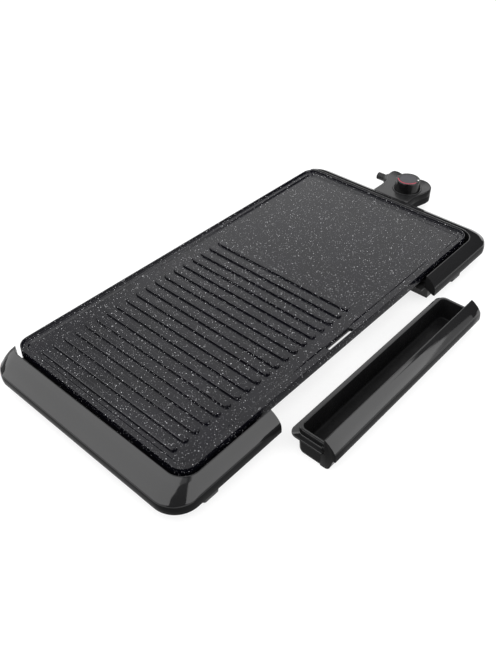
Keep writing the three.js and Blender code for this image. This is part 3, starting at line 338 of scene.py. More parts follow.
def make_piece(name, surface, material, body, stands_for=(), angle=32, outward=False):
    """A mesh object at the origin from a surface round the plate's middle, smooth except over edges sharper than the
    angle."""
    points, faces = surface
    mesh = bpy.data.meshes.new(name)
    mesh.from_pydata(placed(points).tolist(), [], [np.asarray(face).tolist() for face in faces])
    mesh.validate()
    piece = add_object(name, mesh)
    if outward:
        work = bmesh.new()
        work.from_mesh(mesh)
        bmesh.ops.remove_doubles(work, verts=work.verts, dist=1e-7)
        bmesh.ops.recalc_face_normals(work, faces=work.faces)
        work.to_mesh(mesh)
        work.free()
    mesh.shade_smooth()
    mesh.set_sharp_from_angle(angle=math.radians(angle))
    mesh.materials.append(material)
    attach(piece, body)
    if stands_for:
        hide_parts(*stands_for)
    return piece


def second_finish(piece, material, chosen):
    """Give the faces for which chosen(middle, normal) is true another material."""
    mesh = piece.data
    middle, normal = (np.empty(len(mesh.polygons) * 3) for _ in range(2))
    mesh.polygons.foreach_get("center", middle)
    mesh.polygons.foreach_get("normal", normal)
    mesh.materials.append(material)
    index = np.empty(len(mesh.polygons), np.int32)
    mesh.polygons.foreach_get("material_index", index)
    index[chosen(middle.reshape(-1, 3), normal.reshape(-1, 3))] = len(mesh.materials) - 1
    mesh.polygons.foreach_set("material_index", index)


def painted_shade_faces(middle, normal):
    """The faces below the widest line of a moulding, and those that hang nearly straight, which get the painted
    shade.
    """
    return normal[:, 2] < 0.3


# ---------------------------------------------------------------- materials


class Tree:
    """A node tree under construction: nodes are added with their values, and linked by socket."""

    def __init__(self, owner):
        owner.use_nodes = True
        self.tree = owner.node_tree
        self.tree.nodes.clear()

    def node(self, kind, **values):
        made = self.tree.nodes.new(kind)
        for key, value in values.items():
            setattr(made, key, value)
        return made

    def link(self, source, target):
        self.tree.links.new(source, target)

    def math(self, operation, a, b):
        made = self.node("ShaderNodeMath", operation=operation)
        for socket, value in zip(made.inputs, (a, b)):
            if isinstance(value, (int, float)):
                socket.default_value = value
            else:
                self.link(value, socket)
        return made.outputs[0]

    def seen(self):
        """One for the rays that show the background, and zero for those that carry light."""
        path = self.node("ShaderNodeLightPath")
        either = self.math("MAXIMUM", path.outputs["Is Camera Ray"], path.outputs["Is Glossy Ray"])
        return self.math("MAXIMUM", either, path.outputs["Is Transmission Ray"])


class Look(Tree):
    """A material under construction, in object coordinates."""

    def __init__(self, name, **values):
        self.material = bpy.data.materials.get(name) or bpy.data.materials.new(name)
        super().__init__(self.material)
        self.shader = self.node("ShaderNodeBsdfPrincipled")
        self.link(self.shader.outputs["BSDF"], self.node("ShaderNodeOutputMaterial").inputs["Surface"])
        self.place = self.node("ShaderNodeTexCoord").outputs["Object"]
        for socket, value in values.items():
            self.shader.inputs[socket.replace("_", " ")].default_value = value

    def stretched(self, scale):
        """Object coordinates stretched along the axes, for brushed and drawn surfaces."""
        mapping = self.node("ShaderNodeMapping")
        mapping.inputs["Scale"].default_value = scale
        self.link(self.place, mapping.inputs["Vector"])
        return mapping.outputs["Vector"]

    def noise(self, scale, detail=3.0, rough=0.5, place=None):
        made = self.node("ShaderNodeTexNoise")
        made.inputs["Scale"].default_value = scale
        made.inputs["Detail"].default_value = detail
        made.inputs["Roughness"].default_value = rough
        self.link(place or self.place, made.inputs["Vector"])
        return made.outputs["Fac"]

    def drift(self, scale, low, high, start=0.0, end=1.0, detail=3.0, rough=0.5):
        """Noise as a value that wanders between start and end."""
        return self.ramp(self.noise(scale, detail, rough), low, high, start, end)

    def cells(self, scale):
        """Each cell's distance from its middle, and a random value of its own."""
        made = self.node("ShaderNodeTexVoronoi")
        made.inputs["Scale"].default_value = scale
        self.link(self.place, made.inputs["Vector"])
        channels = self.node("ShaderNodeSeparateColor")
        self.link(made.outputs["Color"], channels.inputs[0])
        return made.outputs["Distance"], channels.outputs[0]

    def ramp(self, source, low, high, start=0.0, end=1.0):
        made = self.node("ShaderNodeMapRange", clamp=True, interpolation_type="SMOOTHSTEP")
        for socket, value in zip(("From Min", "From Max", "To Min", "To Max"), (low, high, start, end)):
            made.inputs[socket].default_value = value
        self.link(source, made.inputs["Value"])
        return made.outputs["Result"]

    def mix(self, factor, low, high):
        made = self.node("ShaderNodeMix", data_type="RGBA")
        self.link(factor, made.inputs["Factor"])
        for socket, value in ((made.inputs[6], low), (made.inputs[7], high)):
            if hasattr(value, "is_linked"):
                self.link(value, socket)
            else:
                socket.default_value = (*value, 1)
        return made.outputs[2]

    def bump(self, height, distance, strength=1.0, after=None):
        made = self.node("ShaderNodeBump")
        made.inputs["Strength"].default_value = strength
        made.inputs["Distance"].default_value = distance
        self.link(height, made.inputs["Height"])
        if after is not None:
            self.link(after, made.inputs["Normal"])
        return made.outputs["Normal"]

    def rounded(self, radius):
        """Softly broken edges for small mouldings and sheet parts."""
        made = self.node("ShaderNodeBevel", samples=4)
        made.inputs["Radius"].default_value = radius
        return made.outputs["Normal"]

    def finish(self, tone, roughness, normal):
        """Link colour, roughness and normal, and hand over the material."""
        for socket, source in (("Base Color", tone), ("Roughness", roughness), ("Normal", normal)):
            self.link(source, self.shader.inputs[socket])
        return self.material


def darker(colour, factor):
    return tuple(channel * factor for channel in colour)


# Layers of speckles: cells per metre, a speckle's radius as a share of a cell, share of cells left bare, strength
SPECKLES = ((440, 0.2, 0.87, 1.0), (620, 0.19, 0.75, 1.0), (900, 0.2, 0.6, 0.35))


def coated_plate(f, name="coated_plate", shine=0.25):
    """Black non-stick coat: pale speckles of three sizes on a soft-toned ground, and the grain of a sprayed coat."""
    look = Look(name, Specular_IOR_Level=shine)
    specks = []
    for scale, reach, bare, strength in SPECKLES:
        near, chance = look.cells(scale)
        dot = look.math("MULTIPLY", look.ramp(near, reach, reach * 0.7), look.ramp(chance, bare, bare + 0.08))
        specks.append(look.math("MULTIPLY", dot, strength))
    speck = look.math("MAXIMUM", look.math("MAXIMUM", specks[0], specks[1]), specks[2])
    ground = look.mix(look.drift(28, 0.35, 0.65, detail=4), darker(f.coat, 0.85), darker(f.coat, 1.2))
    rough = look.drift(60, 0.3, 0.7, f.coat_roughness - 0.04, f.coat_roughness + 0.05)
    grain = look.math("ADD", look.noise(900, 2), look.math("MULTIPLY", speck, 0.15))
    return look.finish(look.mix(speck, ground, f.speckle), rough, look.bump(grain, 0.00006, 0.55))


def glossy_moulding(f, name="glossy_moulding", duller=0.0, depth=1.0, shine=0.33):
    """Polished black moulding: deep colour, a whisper of orange peel, and roughness that wanders with handling."""
    look = Look(name, Specular_IOR_Level=shine)
    tone = look.mix(look.drift(9, 0.35, 0.65), darker(f.gloss, 0.9 * depth), darker(f.gloss, 1.12 * depth))
    low = f.gloss_roughness + duller
    smear = look.drift(14, 0.35, 0.72, low - 0.02, low + 0.05, detail=5, rough=0.6)
    return look.finish(tone, smear, look.bump(look.noise(170, 2, 0.4), 0.00004, 0.12))


def lower_edge(f):
    """Painted shade on the lower edge of the polished mouldings: a darker copy of the moulding, duller than the face
    and with almost no shine.
    """
    return glossy_moulding(f, "lower_edge", duller=0.08, depth=0.8, shine=0.025)


def dull_trough(f):
    """Painted shade inside the trough: the same black moulding left unpolished, darker and with little shine, its
    tone wandering at random.
    """
    look = Look("dull_trough", Specular_IOR_Level=0.06)
    shaded_tone = look.mix(look.drift(22, 0.4, 0.75, detail=4, rough=0.6), darker(f.gloss, 0.6), darker(f.gloss, 0.85))
    return look.finish(shaded_tone, look.drift(90, 0.3, 0.7, 0.2, 0.34), look.bump(look.noise(500, 2), 0.00003, 0.3))


def matt_moulding(f, name="matt_moulding", edge=0.0006, roughness=0.55):
    """Spark-eroded black moulding: fine even texture that breaks the light, a little paler where it is rubbed."""
    look = Look(name, Specular_IOR_Level=0.45)
    worn = look.mix(look.drift(35, 0.45, 0.75, detail=4, rough=0.6), f.matte, darker(f.matte, 1.35))
    rough = look.drift(420, 0.3, 0.7, roughness - 0.06, roughness + 0.08, detail=2)
    return look.finish(worn, rough, look.bump(look.noise(1500, 3, 0.55), 0.00008, 0.5, look.rounded(edge)))


def rubber(f, name="black_rubber", shine=0.3, roughness=0.62):
    """Soft black rubber: dull, with a powdery bloom and a fine sheen."""
    look = Look(name, Specular_IOR_Level=shine, Sheen_Weight=0.08, Sheen_Roughness=0.5)
    bloom = look.mix(look.drift(80, 0.4, 0.75, detail=4, rough=0.6), f.rubber, darker(f.rubber, 1.9))
    rough = look.drift(600, 0.3, 0.7, roughness, roughness + 0.18, detail=2)
    return look.finish(bloom, rough, look.bump(look.noise(1800, 2), 0.00006, 0.5))


def steel(f, name, tone, roughness, scale):
    """Drawn or turned steel: fine lines along one axis in colour, roughness and height."""
    look = Look(name, Metallic=1.0)
    lines = look.noise(60, 4, 0.65, look.stretched(scale))
    drawn = look.mix(look.ramp(lines, 0.3, 0.7), darker(tone, 0.86), tone)
    rough = look.ramp(lines, 0.25, 0.75, roughness - 0.08, roughness + 0.1)
    return look.finish(drawn, rough, look.bump(lines, 0.00003, 0.5, look.rounded(0.0002)))


def heated_steel(f):
    """The element's tube: oxidised steel, with brown and blue-grey tints in bands and a dry scale on top."""
    look = Look("heated_steel", Metallic=0.85)
    tint = look.mix(look.drift(18, 0.35, 0.55, detail=4, rough=0.6), f.element, (0.17, 0.125, 0.09))
    tint = look.mix(look.drift(45, 0.55, 0.75), tint, (0.11, 0.12, 0.14))
    return look.finish(tint, look.drift(240, 0.3, 0.7, 0.38, 0.58), look.bump(look.noise(900, 4), 0.00005, 0.6))


def ceramic():
    """Unglazed steatite: warm white, faintly mottled, with a chalky grain."""
    look = Look("steatite", Specular_IOR_Level=0.4)
    tone = look.mix(look.drift(120, 0.4, 0.7, detail=4), (0.80, 0.77, 0.70), (0.86, 0.84, 0.79))
    rough = look.drift(500, 0.3, 0.7, 0.55, 0.7, detail=2)
    return look.finish(tone, rough, look.bump(look.noise(1400, 3), 0.00005, 0.5, look.rounded(0.0004)))


def printed(name, tone, roughness):
    """A satin inlay or print on the knob: an even colour with a fine grain."""
    look = Look(name, Specular_IOR_Level=0.3)
    even = look.mix(look.drift(300, 0.35, 0.7), darker(tone, 0.94), tone)
    rough = look.drift(500, 0.3, 0.7, roughness - 0.05, roughness + 0.06, detail=2)
    return look.finish(even, rough, look.bump(look.noise(2200, 2), 0.00002, 0.5))


# ---------------------------------------------------------------- plate

# Distances inwards from the plate's edge, and depths below its crest, in millimetres
LEDGE_START, LEDGE_END = 2.6, 7
FLOOR_START = 8.8
GUTTER_START, GUTTER_END = 2.9, 12.4
RISER_RUN = 0.45
SLOPE_START, SLOPE_RUN = 11.5, 0.9
GUTTER_END_DEPTH = 5.1
FUNNEL_DEPTH, FUNNEL_FALL = 4.8, 2.8
UNDERSIDE_DEPTH = 7.9
RIM_END = 13.2
PATCH_START = 3.6
SKIRT_DEPTH = 12

# Along the plate, in millimetres
RAMP_OUTER, RAMP_INNER = 44, 68
SLOT_MARGIN = 5

# Down the slot's wall: distance back from its edge, and depth below the crest
SLOT_WALL = ((-0.12, 7.85), (-0.15, 8.4), (-0.15, 11.6), (0.1, 11.95), (0.4, 12.0), (1.8, 12.0))

# A rib's section: distance from its middle line, and share of its height
RIB_HALF_WIDTH = 3.9
RIB_SECTION = ((0, 1), (2.8, 0.985), (3.6, 0.93), (RIB_HALF_WIDTH, 0), (6, 0))
RIB_OFFSETS = (4.6, 3.9, 3.8, 3.7, 3.62, 3.57, 3.5, 3.4, 3.2, 2.9, 2.5, 1.2)


def rim_depth(inset, s):
    """Depth below the crest as a function of the distance inwards: crest, steep wall, ledge, slope and floor."""
    ledge, floor = s.ledge_depth / MM, s.floor_depth / MM
    wall = [(-1, 0), (0.4, 0), (1.3, 0), (LEDGE_START, ledge)]
    slope = [(LEDGE_END, ledge), (FLOOR_START, floor), (20, floor)]
    profile = filleted(wall + slope, [0, 0, 0.35, 0.5, 0.9, 0.9, 0])
    return np.interp(inset / MM, profile[:, 0], profile[:, 1]) * MM


def slot_ends(s, margin=0):
    """Both ends of the drain slot along X, moved outwards by a margin in millimetres."""
    return s.slot_x - s.slot_length / 2 - margin * MM, s.slot_x + s.slot_length / 2 + margin * MM


def gutter_depth(inset, x, s):
    """Depth of the gutter along the front edge: a steep riser at its front, a flat bottom and a short slope up to the
    floor. The bottom rises in two ramps from the slot towards both ends, and ends in the ledge."""
    half = HALF_X / MM
    ledge, floor, deep = s.ledge_depth / MM, s.floor_depth / MM, s.gutter_depth / MM
    slot = [end / MM for end in slot_ends(s, SLOT_MARGIN)]
    marks = [RAMP_OUTER - half, RAMP_INNER - half, *slot, half - RAMP_INNER, half - RAMP_OUTER]
    i, x = inset / MM, x / MM
    bottom = np.interp(x, marks, [ledge + 0.3, GUTTER_END_DEPTH, deep, deep, GUTTER_END_DEPTH, ledge + 0.3])
    riser = ledge + (bottom - ledge) * np.clip((i - GUTTER_START) / RISER_RUN, 0, 1)
    slope = bottom + (floor - bottom) * np.clip((i - SLOPE_START) / SLOPE_RUN, 0, 1)
    inside = (i > GUTTER_START) & (i < GUTTER_END) & (x > marks[0]) & (x < marks[-1])
    return np.where(inside, np.where(i < LEDGE_END, riser, slope), 0) * MM


def plate_depth(inset, x, front, s):
    """The deeper of rim profile and gutter; the gutter counts only along the front."""
    return np.maximum(rim_depth(inset, s), np.where(front, gutter_depth(inset, x, s), 0))


def between(a, b, step):
    return np.linspace(a, b, max(2, int(abs(b - a) / step) + 1))


def plate_rim(s):
    """The rim as a profile carried round a rectangle with round corners: from the floor over ledge and crest, down
    the flared skirt, round its lower edge and up inside it. Cells around the drain slot are left to its patch."""
    r = s.corner
    x_end, y_end = HALF_X - r, HALF_Y - r
    slot0, slot1 = slot_ends(s, SLOT_MARGIN)
    ramp0, ramp1 = HALF_X - RAMP_OUTER * MM, HALF_X - RAMP_INNER * MM
    stops = [(-x_end, 7), (-ramp0, 3), (-ramp1, 8), (slot0, 4), (slot1, 8), (ramp1, 3), (ramp0, 7)]
    ends = [place for place, _ in stops[1:]] + [x_end]
    runs = [between(start, end, step * MM) for (start, step), end in zip(stops, ends)]
    front = np.unique(np.round(np.concatenate([*runs, [0.05 * MM - ramp0, ramp0 - 0.05 * MM]]), 8))
    sides = between(-y_end, y_end, 8 * MM)
    rear = between(-x_end, x_end, 8 * MM)
    quarter = np.linspace(0, math.pi / 2, 17)[1:-1]
    around = [
        (front, -y_end, -math.pi / 2),
        (x_end, -y_end, quarter - math.pi / 2),
        (x_end, sides, 0),
        (x_end, y_end, quarter),
        (rear[::-1], y_end, math.pi / 2),
        (-x_end, y_end, quarter + math.pi / 2),
        (-x_end, sides[::-1], math.pi),
        (-x_end, -y_end, quarter + math.pi),
    ]
    bx, by, turn = np.concatenate([np.stack(np.broadcast_arrays(*run)) for run in around], axis=1)
    insets = np.concatenate(
        [
            [RIM_END, 12.8, 12.45, 12.39, 12.2, 11.9, 11.6, 11.5, 11.3, 10.6, 9.8, 9.3, 9.0],
            np.linspace(FLOOR_START, 6.4, 13),
            [5.6, 4.6, 3.9, PATCH_START, 3.45, 3.35, 3.25, 3.1, 2.95, 2.89],
            np.linspace(2.8, 1.0, 15),
            [0.7, 0.4],
        ]
    )
    rows = len(insets)
    crest = filleted([(0.4, 0), (0, 0), (-0.2, 4)], 0.35)[1:]
    skirt = [(-0.2, 4), (-0.6, SKIRT_DEPTH), (2.0, SKIRT_DEPTH), (3.2, 8), (3.8, 8)]
    outside = np.concatenate([crest, filleted(skirt, 0.5, 4)[1:]])
    i = np.concatenate([insets, outside[:, 0]])[:, None] * MM
    x = np.broadcast_to(bx, (len(i), len(bx)))
    along_front = np.broadcast_to(np.arange(len(bx)) < len(front), x.shape)
    depth = plate_depth(np.broadcast_to(i, x.shape), x, along_front, s)
    outer_depth = np.concatenate([np.zeros(rows), outside[:, 1] * MM])[:, None]
    depth = np.where(np.arange(len(i))[:, None] < rows, depth, outer_depth)
    grid = np.stack([bx + np.cos(turn) * (r - i), by + np.sin(turn) * (r - i), CREST - depth], 2)
    middle = (np.append(bx[1:], bx[0]) + bx) / 2
    patch_column = (np.arange(len(bx)) < len(front) - 1) & (middle > slot0) & (middle < slot1)
    beside = (insets <= RIM_END + 0.01) & (insets >= PATCH_START - 0.01)
    patch_row = np.concatenate([beside[:-1] & beside[1:], np.zeros(len(i) - rows, bool)])
    keep = ~(patch_row[:, None] & patch_column)
    return sheet(grid, keep, closed=True), insets[beside] * MM


def slot_patch(side_insets, s):
    """The drain slot and its funnel. Points run round a rectangle in the gutter; each walks to the nearest point of
    the slot's outline, two half circles joined by straight lines, then down its wall and out under its drip lip."""
    x0, x1 = slot_ends(s, SLOT_MARGIN)
    up = np.sort(side_insets)
    xs = between(x0, x1, 0.9 * MM)
    sides = [(xs[:-1], up[0]), (x1, up[:-1]), (xs[:0:-1], up[-1]), (x0, up[:0:-1])]
    outer = np.concatenate([np.stack(np.broadcast_arrays(x, inset - HALF_Y), 1) for x, inset in sides])
    radius = s.slot_width / 2
    start, end = slot_ends(s)
    along = np.clip(outer[:, 0], start + radius, end - radius)
    core = np.stack([along, np.full(len(outer), s.slot_inset - HALF_Y)], 1)
    away = outer - core
    away /= np.linalg.norm(away, axis=1, keepdims=True)
    edge = core + away * radius
    t = np.linspace(0, 1, 20)[:, None]
    plan = outer + (edge - outer) * t[:, :, None]
    inset = plan[:, :, 1] + HALF_Y
    surface = plate_depth(inset, plan[:, :, 0], np.ones(inset.shape, bool), s)
    funnel = FUNNEL_DEPTH * MM + FUNNEL_FALL * MM * np.clip((t - 0.05) / 0.95, 0, 1)
    depth = np.maximum(surface, np.where(t > 0, funnel, 0))
    rows = [np.concatenate([plan, (CREST - depth)[:, :, None]], 2)]
    for back, down in SLOT_WALL:
        row = np.concatenate([edge + away * back * MM, np.full((len(edge), 1), CREST - down * MM)], 1)
        rows.append(row[None])
    return sheet(np.concatenate(rows), closed=True, flip=True)


def plate_floor(s):
    """The cooking floor: a flat grid raised by each rib, where the height depends on the distance from the rib's
    middle line, through a steep flank, a round shoulder and a nearly flat crown."""
    x_end, y_end = HALF_X - RIM_END * MM, HALF_Y - RIM_END * MM
    i = np.arange(s.rib_count)
    rib_x = -HALF_X + s.rib_first + i * s.rib_pitch + s.rib_growth * i * (i - 1) / 2
    offsets = -np.array(RIB_OFFSETS) * MM
    offsets = np.concatenate([offsets, [0], -offsets[::-1]])
    right = between(rib_x[-1] + 8 * MM, x_end, 9 * MM)
    xs = np.concatenate([[-x_end, x_end], (rib_x[:, None] + offsets).ravel(), right])
    xs = np.unique(np.round(xs[(xs >= -x_end) & (xs <= x_end)], 8))
    tip = HALF_Y - s.rib_end
    core = tip - RIB_HALF_WIDTH * MM
    round_end = np.linspace(core + 2.6 * MM, tip + 0.25 * MM, 20)
    ends = np.concatenate([[core - 1.5 * MM, core, core + 2 * MM], round_end, [tip + 3 * MM]])
    middle = between(-core + 4 * MM, core - 4 * MM, 16 * MM)
    ys = np.unique(np.round(np.concatenate([-ends, ends, middle, [-y_end, y_end]]), 8))
    x, y = np.meshgrid(xs, ys)
    nearest = np.abs(x[..., None] - rib_x).min(-1)
    distance = np.hypot(nearest, np.maximum(np.abs(y) - core, 0)) / MM
    h = s.rib_height / MM
    section = filleted([(out, h * share) for out, share in RIB_SECTION], [0, 0.7, 0.3, 0, 0], 6)
    z = CREST - s.floor_depth + np.interp(distance, section[:, 0], section[:, 1]) * MM
    z[[0, 0, -1, -1], [0, -1, 0, -1]] -= 0.03 * MM
    return sheet(np.stack([x, y, z], 2))


def plate_underside(s):
    """The CAD plate's own faces below its floor: bosses, element rail, probe well and drip lip."""

    def keep(middle, normal):
        inset = np.minimum(HALF_X - np.abs(middle[:, 0]), HALF_Y - np.abs(middle[:, 1]))
        depth = CREST - middle[:, 2]
        skirt = (inset < 3.25 * MM) & ~((normal[:, 2] < -0.9) & (depth < 11 * MM))
        skirt_end = np.abs(depth - SKIRT_DEPTH * MM) < 0.05 * MM
        beside_slot = np.abs(middle[:, 0] - s.slot_x) - s.slot_length / 2
        before_slot = np.abs(middle[:, 1] + HALF_Y - s.slot_inset) - s.slot_width / 2
        slot_wall = (np.maximum(beside_slot, before_slot) < 0.1 * MM) & (np.abs(normal[:, 2]) < 0.5)
        return ~(skirt | (depth < UNDERSIDE_DEPTH * MM) | skirt_end | slot_wall)

    return cad_copy("grill_plate", keep)


class GRILL_OT_plate(Operator):
    """Build the coated plate: rim, gutter, drain slot, ribs and underside"""

    bl_idname = "grill.plate"
    bl_label = "Plate"

    def execute(self, context):
        s, f = context.scene.grill_plate, context.scene.grill_finishes
        rim, side_insets = plate_rim(s)
        surface = joined(rim, slot_patch(side_insets, s), plate_floor(s))
        coat, walls = coated_plate(f), coated_plate(f, "coated_walls", 0.05)
        top = make_piece("plate_top", surface, coat, "grill", ["grill_plate"], angle=40)
        # painted shade: steep faces of the plate, its rib flanks, rim walls and skirt, get a copy of the coat with
        # almost no shine, so that they show dark
        second_finish(top, walls, lambda middle, normal: np.abs(normal[:, 2]) < 0.62)
        make_piece("plate_underside", plate_underside(s), coat, "grill", angle=30)
        return {"FINISHED"}


# ---------------------------------------------------------------- end frames

# The outer section, lip to lower edge: shares of the reach at the side, of the reach at the front, of the height and
# of the growth in corner radius; the crease is the row where its two curves meet
SECTION = (
    (0, 0, 1, 0),
    (0.045, 0.075, 1, 0.05),
    (0.06, 0.09, 0.99, 0.06),
    (0.2, 0.2, 0.955, 0.2),
    (0.36, 0.33, 0.905, 0.35),
    (0.64, 0.63, 0.75, 0.65),
    (0.86, 0.85, 0.575, 0.9),
    (0.95, 0.92, 0.5, 0.95),
    (0.985, 0.96, 0.4, 0.98),
    (1, 1, 0.2, 1),
    (0.99, 1, 0, 1),
)
CREASE = 7
LIP_RADIUS, RADIUS_GROWTH, LEAST_RADIUS = 20.5 * MM, 7.5 * MM, 8 * MM
REAR_REACH, REAR_CUT = 0.8 * MM, 0.6 * MM
DECK_HEIGHT = 23 * MM

# The socket in the right frame: its notch through the shell and its window through the inner wall
NOTCH_Y, NOTCH_TOP = np.array([-23, 36]) * MM, 32.5 * MM
WINDOW_Y, WINDOW_TOP = np.array([-13.5, 26.5]) * MM, 29 * MM


def frame_section():
    """The outer section's rows: one smooth curve from the lip to the crease and one from there to the lower edge."""
    lip = filleted(SECTION[:4], [0, 0.02, 0.03, 0], 3)[:-1]
    return np.concatenate([lip, through(SECTION[3 : CREASE + 1], 5), through(SECTION[CREASE:], 4)[1:]])


def tray_front(s):
    """The tray panel's outer section, the frame arm's own, as (distance out of the front edge, height)."""
    rows = frame_section()
    height = s.bottom_height + (s.lip_height - s.bottom_height) * rows[:, 2]
    return np.stack([s.gap + s.front_reach * rows[:, 1], height], 1)


def frame_skin(side, front, rear, radius, z, start, cut):
    """A skin of the right end frame. A row is part of a rounded rectangle with its own extents, radius and height;
    columns go from the end of the front arm round the front corner and along the side to the cut at the rear."""
    x1, y0, y1 = HALF_X + side, -HALF_Y - front, HALF_Y + rear
    c0, c1, centre_x = y0 + radius, y1 - radius, x1 - radius
    arm_x = start + (centre_x - start)[:, None] * np.linspace(0, 1, 14)

    def bend(angle, centre_y):
        across, along = radius[:, None] * np.cos(angle), radius[:, None] * np.sin(angle)
        return centre_x[:, None] + across, centre_y[:, None] + along

    inner = np.unique(np.concatenate([NOTCH_Y, WINDOW_Y, between(-85 * MM, 85 * MM, 9 * MM)]))
    side_y = np.concatenate([np.broadcast_to(inner, (len(z), len(inner))), c1[:, None]], 1)
    last = np.arcsin(np.clip((cut - c1) / radius, -1, 1))[:, None] * np.linspace(0, 1, 9)[1:]
    first = np.linspace(-math.pi / 2, 0, 22)[1:]
    runs = [(arm_x, y0[:, None]), bend(first, c0), (x1[:, None], side_y), bend(last, c1)]
    return np.concatenate([np.stack(np.broadcast_arrays(x, y, z[:, None]), 2) for x, y in runs], 1)


def frame_grids(s):
    """Outer and inner skin of the right end frame as grids whose rows go up the inner wall, over the lip and down the
    shell, and the number of wall rows. The inner skin is set back along the section's normal."""
    section = frame_section()
    z = s.bottom_height + (s.lip_height - s.bottom_height) * section[:, 2]
    wall_z = np.unique([DECK_HEIGHT, WINDOW_TOP, *np.linspace(30 * MM, s.lip_height - 0.5 * MM, 5)])
    wall_z = np.concatenate([wall_z, s.lip_height - np.array([0.28, 0.12, 0.03]) * MM])
    k = np.searchsorted(-z, -NOTCH_TOP)
    t = (NOTCH_TOP - z[k - 1]) / (z[k] - z[k - 1])
    section = np.insert(section, k, section[k - 1] + (section[k] - section[k - 1]) * t, axis=0)
    z = np.insert(z, k, NOTCH_TOP)
    n = len(wall_z)
    wall = np.zeros((n, 4))
    wall[-3:, :2] = [[0.0, 0.0], [0.002, 0.003], [0.006, 0.01]]
    rows = np.concatenate([wall, section[1:]])
    z = np.concatenate([wall_z, z[1:]])
    side, front = s.gap + s.side_reach * rows[:, 0], s.gap + s.front_reach * rows[:, 1]
    rear = s.gap + REAR_REACH * rows[:, 0]
    radius = LIP_RADIUS + RADIUS_GROWTH * rows[:, 3]
    is_wall = np.arange(len(z)) < n

    def tilt(out):
        return np.arctan2(-np.gradient(z), np.gradient(out) + 1e-12)

    def set_back(out, step, least):
        return np.where(is_wall, out + s.wall, np.maximum(out - step, least))

    least = s.gap + s.wall
    in_side = set_back(side, s.wall * np.sin(tilt(side)), least)
    in_front = set_back(front, s.wall * np.sin(tilt(front)), least)
    in_z = np.minimum(np.where(is_wall, z, z - s.wall * np.cos(tilt(front))), s.lip_height - s.wall)
    in_z[-1] = z[-1]
    in_z = np.where(~is_wall & (in_z < s.bottom_height), s.bottom_height, in_z)
    in_rear = set_back(rear, s.wall, s.gap + s.wall * 0.2)
    in_radius = set_back(radius, side - in_side, LEAST_RADIUS)
    cut = HALF_Y - REAR_CUT
    outer = frame_skin(side, front, rear, radius, z, s.arm_end, cut)
    inner = frame_skin(in_side, in_front, in_rear, in_radius, in_z, s.arm_end + s.wall, cut - s.wall)
    return outer, inner, n


def end_cap(line, flip):
    """A flat face over one end of a skin."""
    order = np.arange(len(line))
    return line, [order[::-1] if flip else order]


def end_frame(s, side):
    """One end frame as a closed moulding; the left one is the mirror image, and only the right one has the socket."""
    outer, inner, wall_rows = frame_grids(s)
    keep = np.ones((len(outer) - 1, outer.shape[1] - 1), bool)
    if side > 0:
        zc = (outer[:-1, :-1, 2] + outer[1:, :-1, 2]) / 2
        yc = (outer[:-1, :-1, 1] + outer[:-1, 1:, 1]) / 2
        along_side = outer[:-1, :-1, 0] > HALF_X
        in_wall = np.arange(len(keep))[:, None] < wall_rows
        for rows, (low, high), top in ((~in_wall, NOTCH_Y, NOTCH_TOP), (in_wall, WINDOW_Y, WINDOW_TOP)):
            keep &= ~(rows & (zc < top) & (yc > low) & (yc < high) & along_side)

    def heel(x):
        return np.array([[x, -HALF_Y - s.gap - s.front_reach + s.wall, s.bottom_height]])

    parts, lower = [shell(outer, inner, keep)], []
    for skin, x, flip in ((outer[:, 0], s.arm_end, True), (inner[:, 0], s.arm_end + s.wall, False)):
        parts.append(end_cap(np.concatenate([skin, heel(x)]), flip))
        lower.append([skin[-1], heel(x)[0], skin[0]])
    parts += [end_cap(outer[:, -1], False), end_cap(inner[:, -1], True), sheet(np.array(lower))]
    parts.append(sheet(np.stack([outer[[-1, 0], -1], inner[[-1, 0], -1]]), flip=True))
    points, faces = joined(*parts)
    if side < 0:
        points = points * [-1, 1, 1]
        faces = [face[::-1] for face in faces]
    return points, faces


class GRILL_OT_end_frames(Operator):
    """Build the two glossy mouldings that wrap round the ends of the plate"""

    bl_idname = "grill.end_frames"
    bl_label = "End frames"

    def execute(self, context):
        s, f = context.scene.grill_frames, context.scene.grill_finishes
        gloss = glossy_moulding(f)
        for name, side in (("left_end_frame", -1), ("right_end_frame", 1)):
            surface, title = end_frame(s, side), name + "_moulding"
            piece = make_piece(title, surface, gloss, "grill", [name], angle=28, outward=True)
            # painted shade: the frames' lower band and near-upright faces get the darker, nearly shineless copy of
            # the moulding
            second_finish(piece, lower_edge(f), painted_shade_faces)
        return {"FINISHED"}


# ---------------------------------------------------------------- drip tray

# In millimetres: the panel's lower and rear side and its lip as (distance out of the front edge, height), the height
# of its foot, the trough's rim, its flange and its body, and the clear space inside it
PANEL_LOWER = [(20.0, 17.4), (17.8, 17.4), (14.2, 4), (12.6, 2), (10.2, 0.4)]
PANEL_REAR = [(3.4, 0.4), (3.4, 28.4), (5.5, 28.4), (5.5, 38.8)]
PANEL_RADII = [0, 0.3, 1.2, 0.8, 0.8, 0, 0, 0, 0]
PANEL_LIP = [(5.55, 38.95), (5.65, 39.05), (5.8, 39.1)]
PANEL_FOOT = 17.45
RIM_HALF, RIM_REAR, RIM_WIDTH = 134.6, -29.6, 2.3
FLANGE_HALF, FLANGE_REAR = 140.8, -35.2
BODY_HALF, BODY_REAR = 137.9, -26.4
CLEAR_HALF, CLEAR_FRONT, CLEAR_REAR = 134, 38.5, 7.7


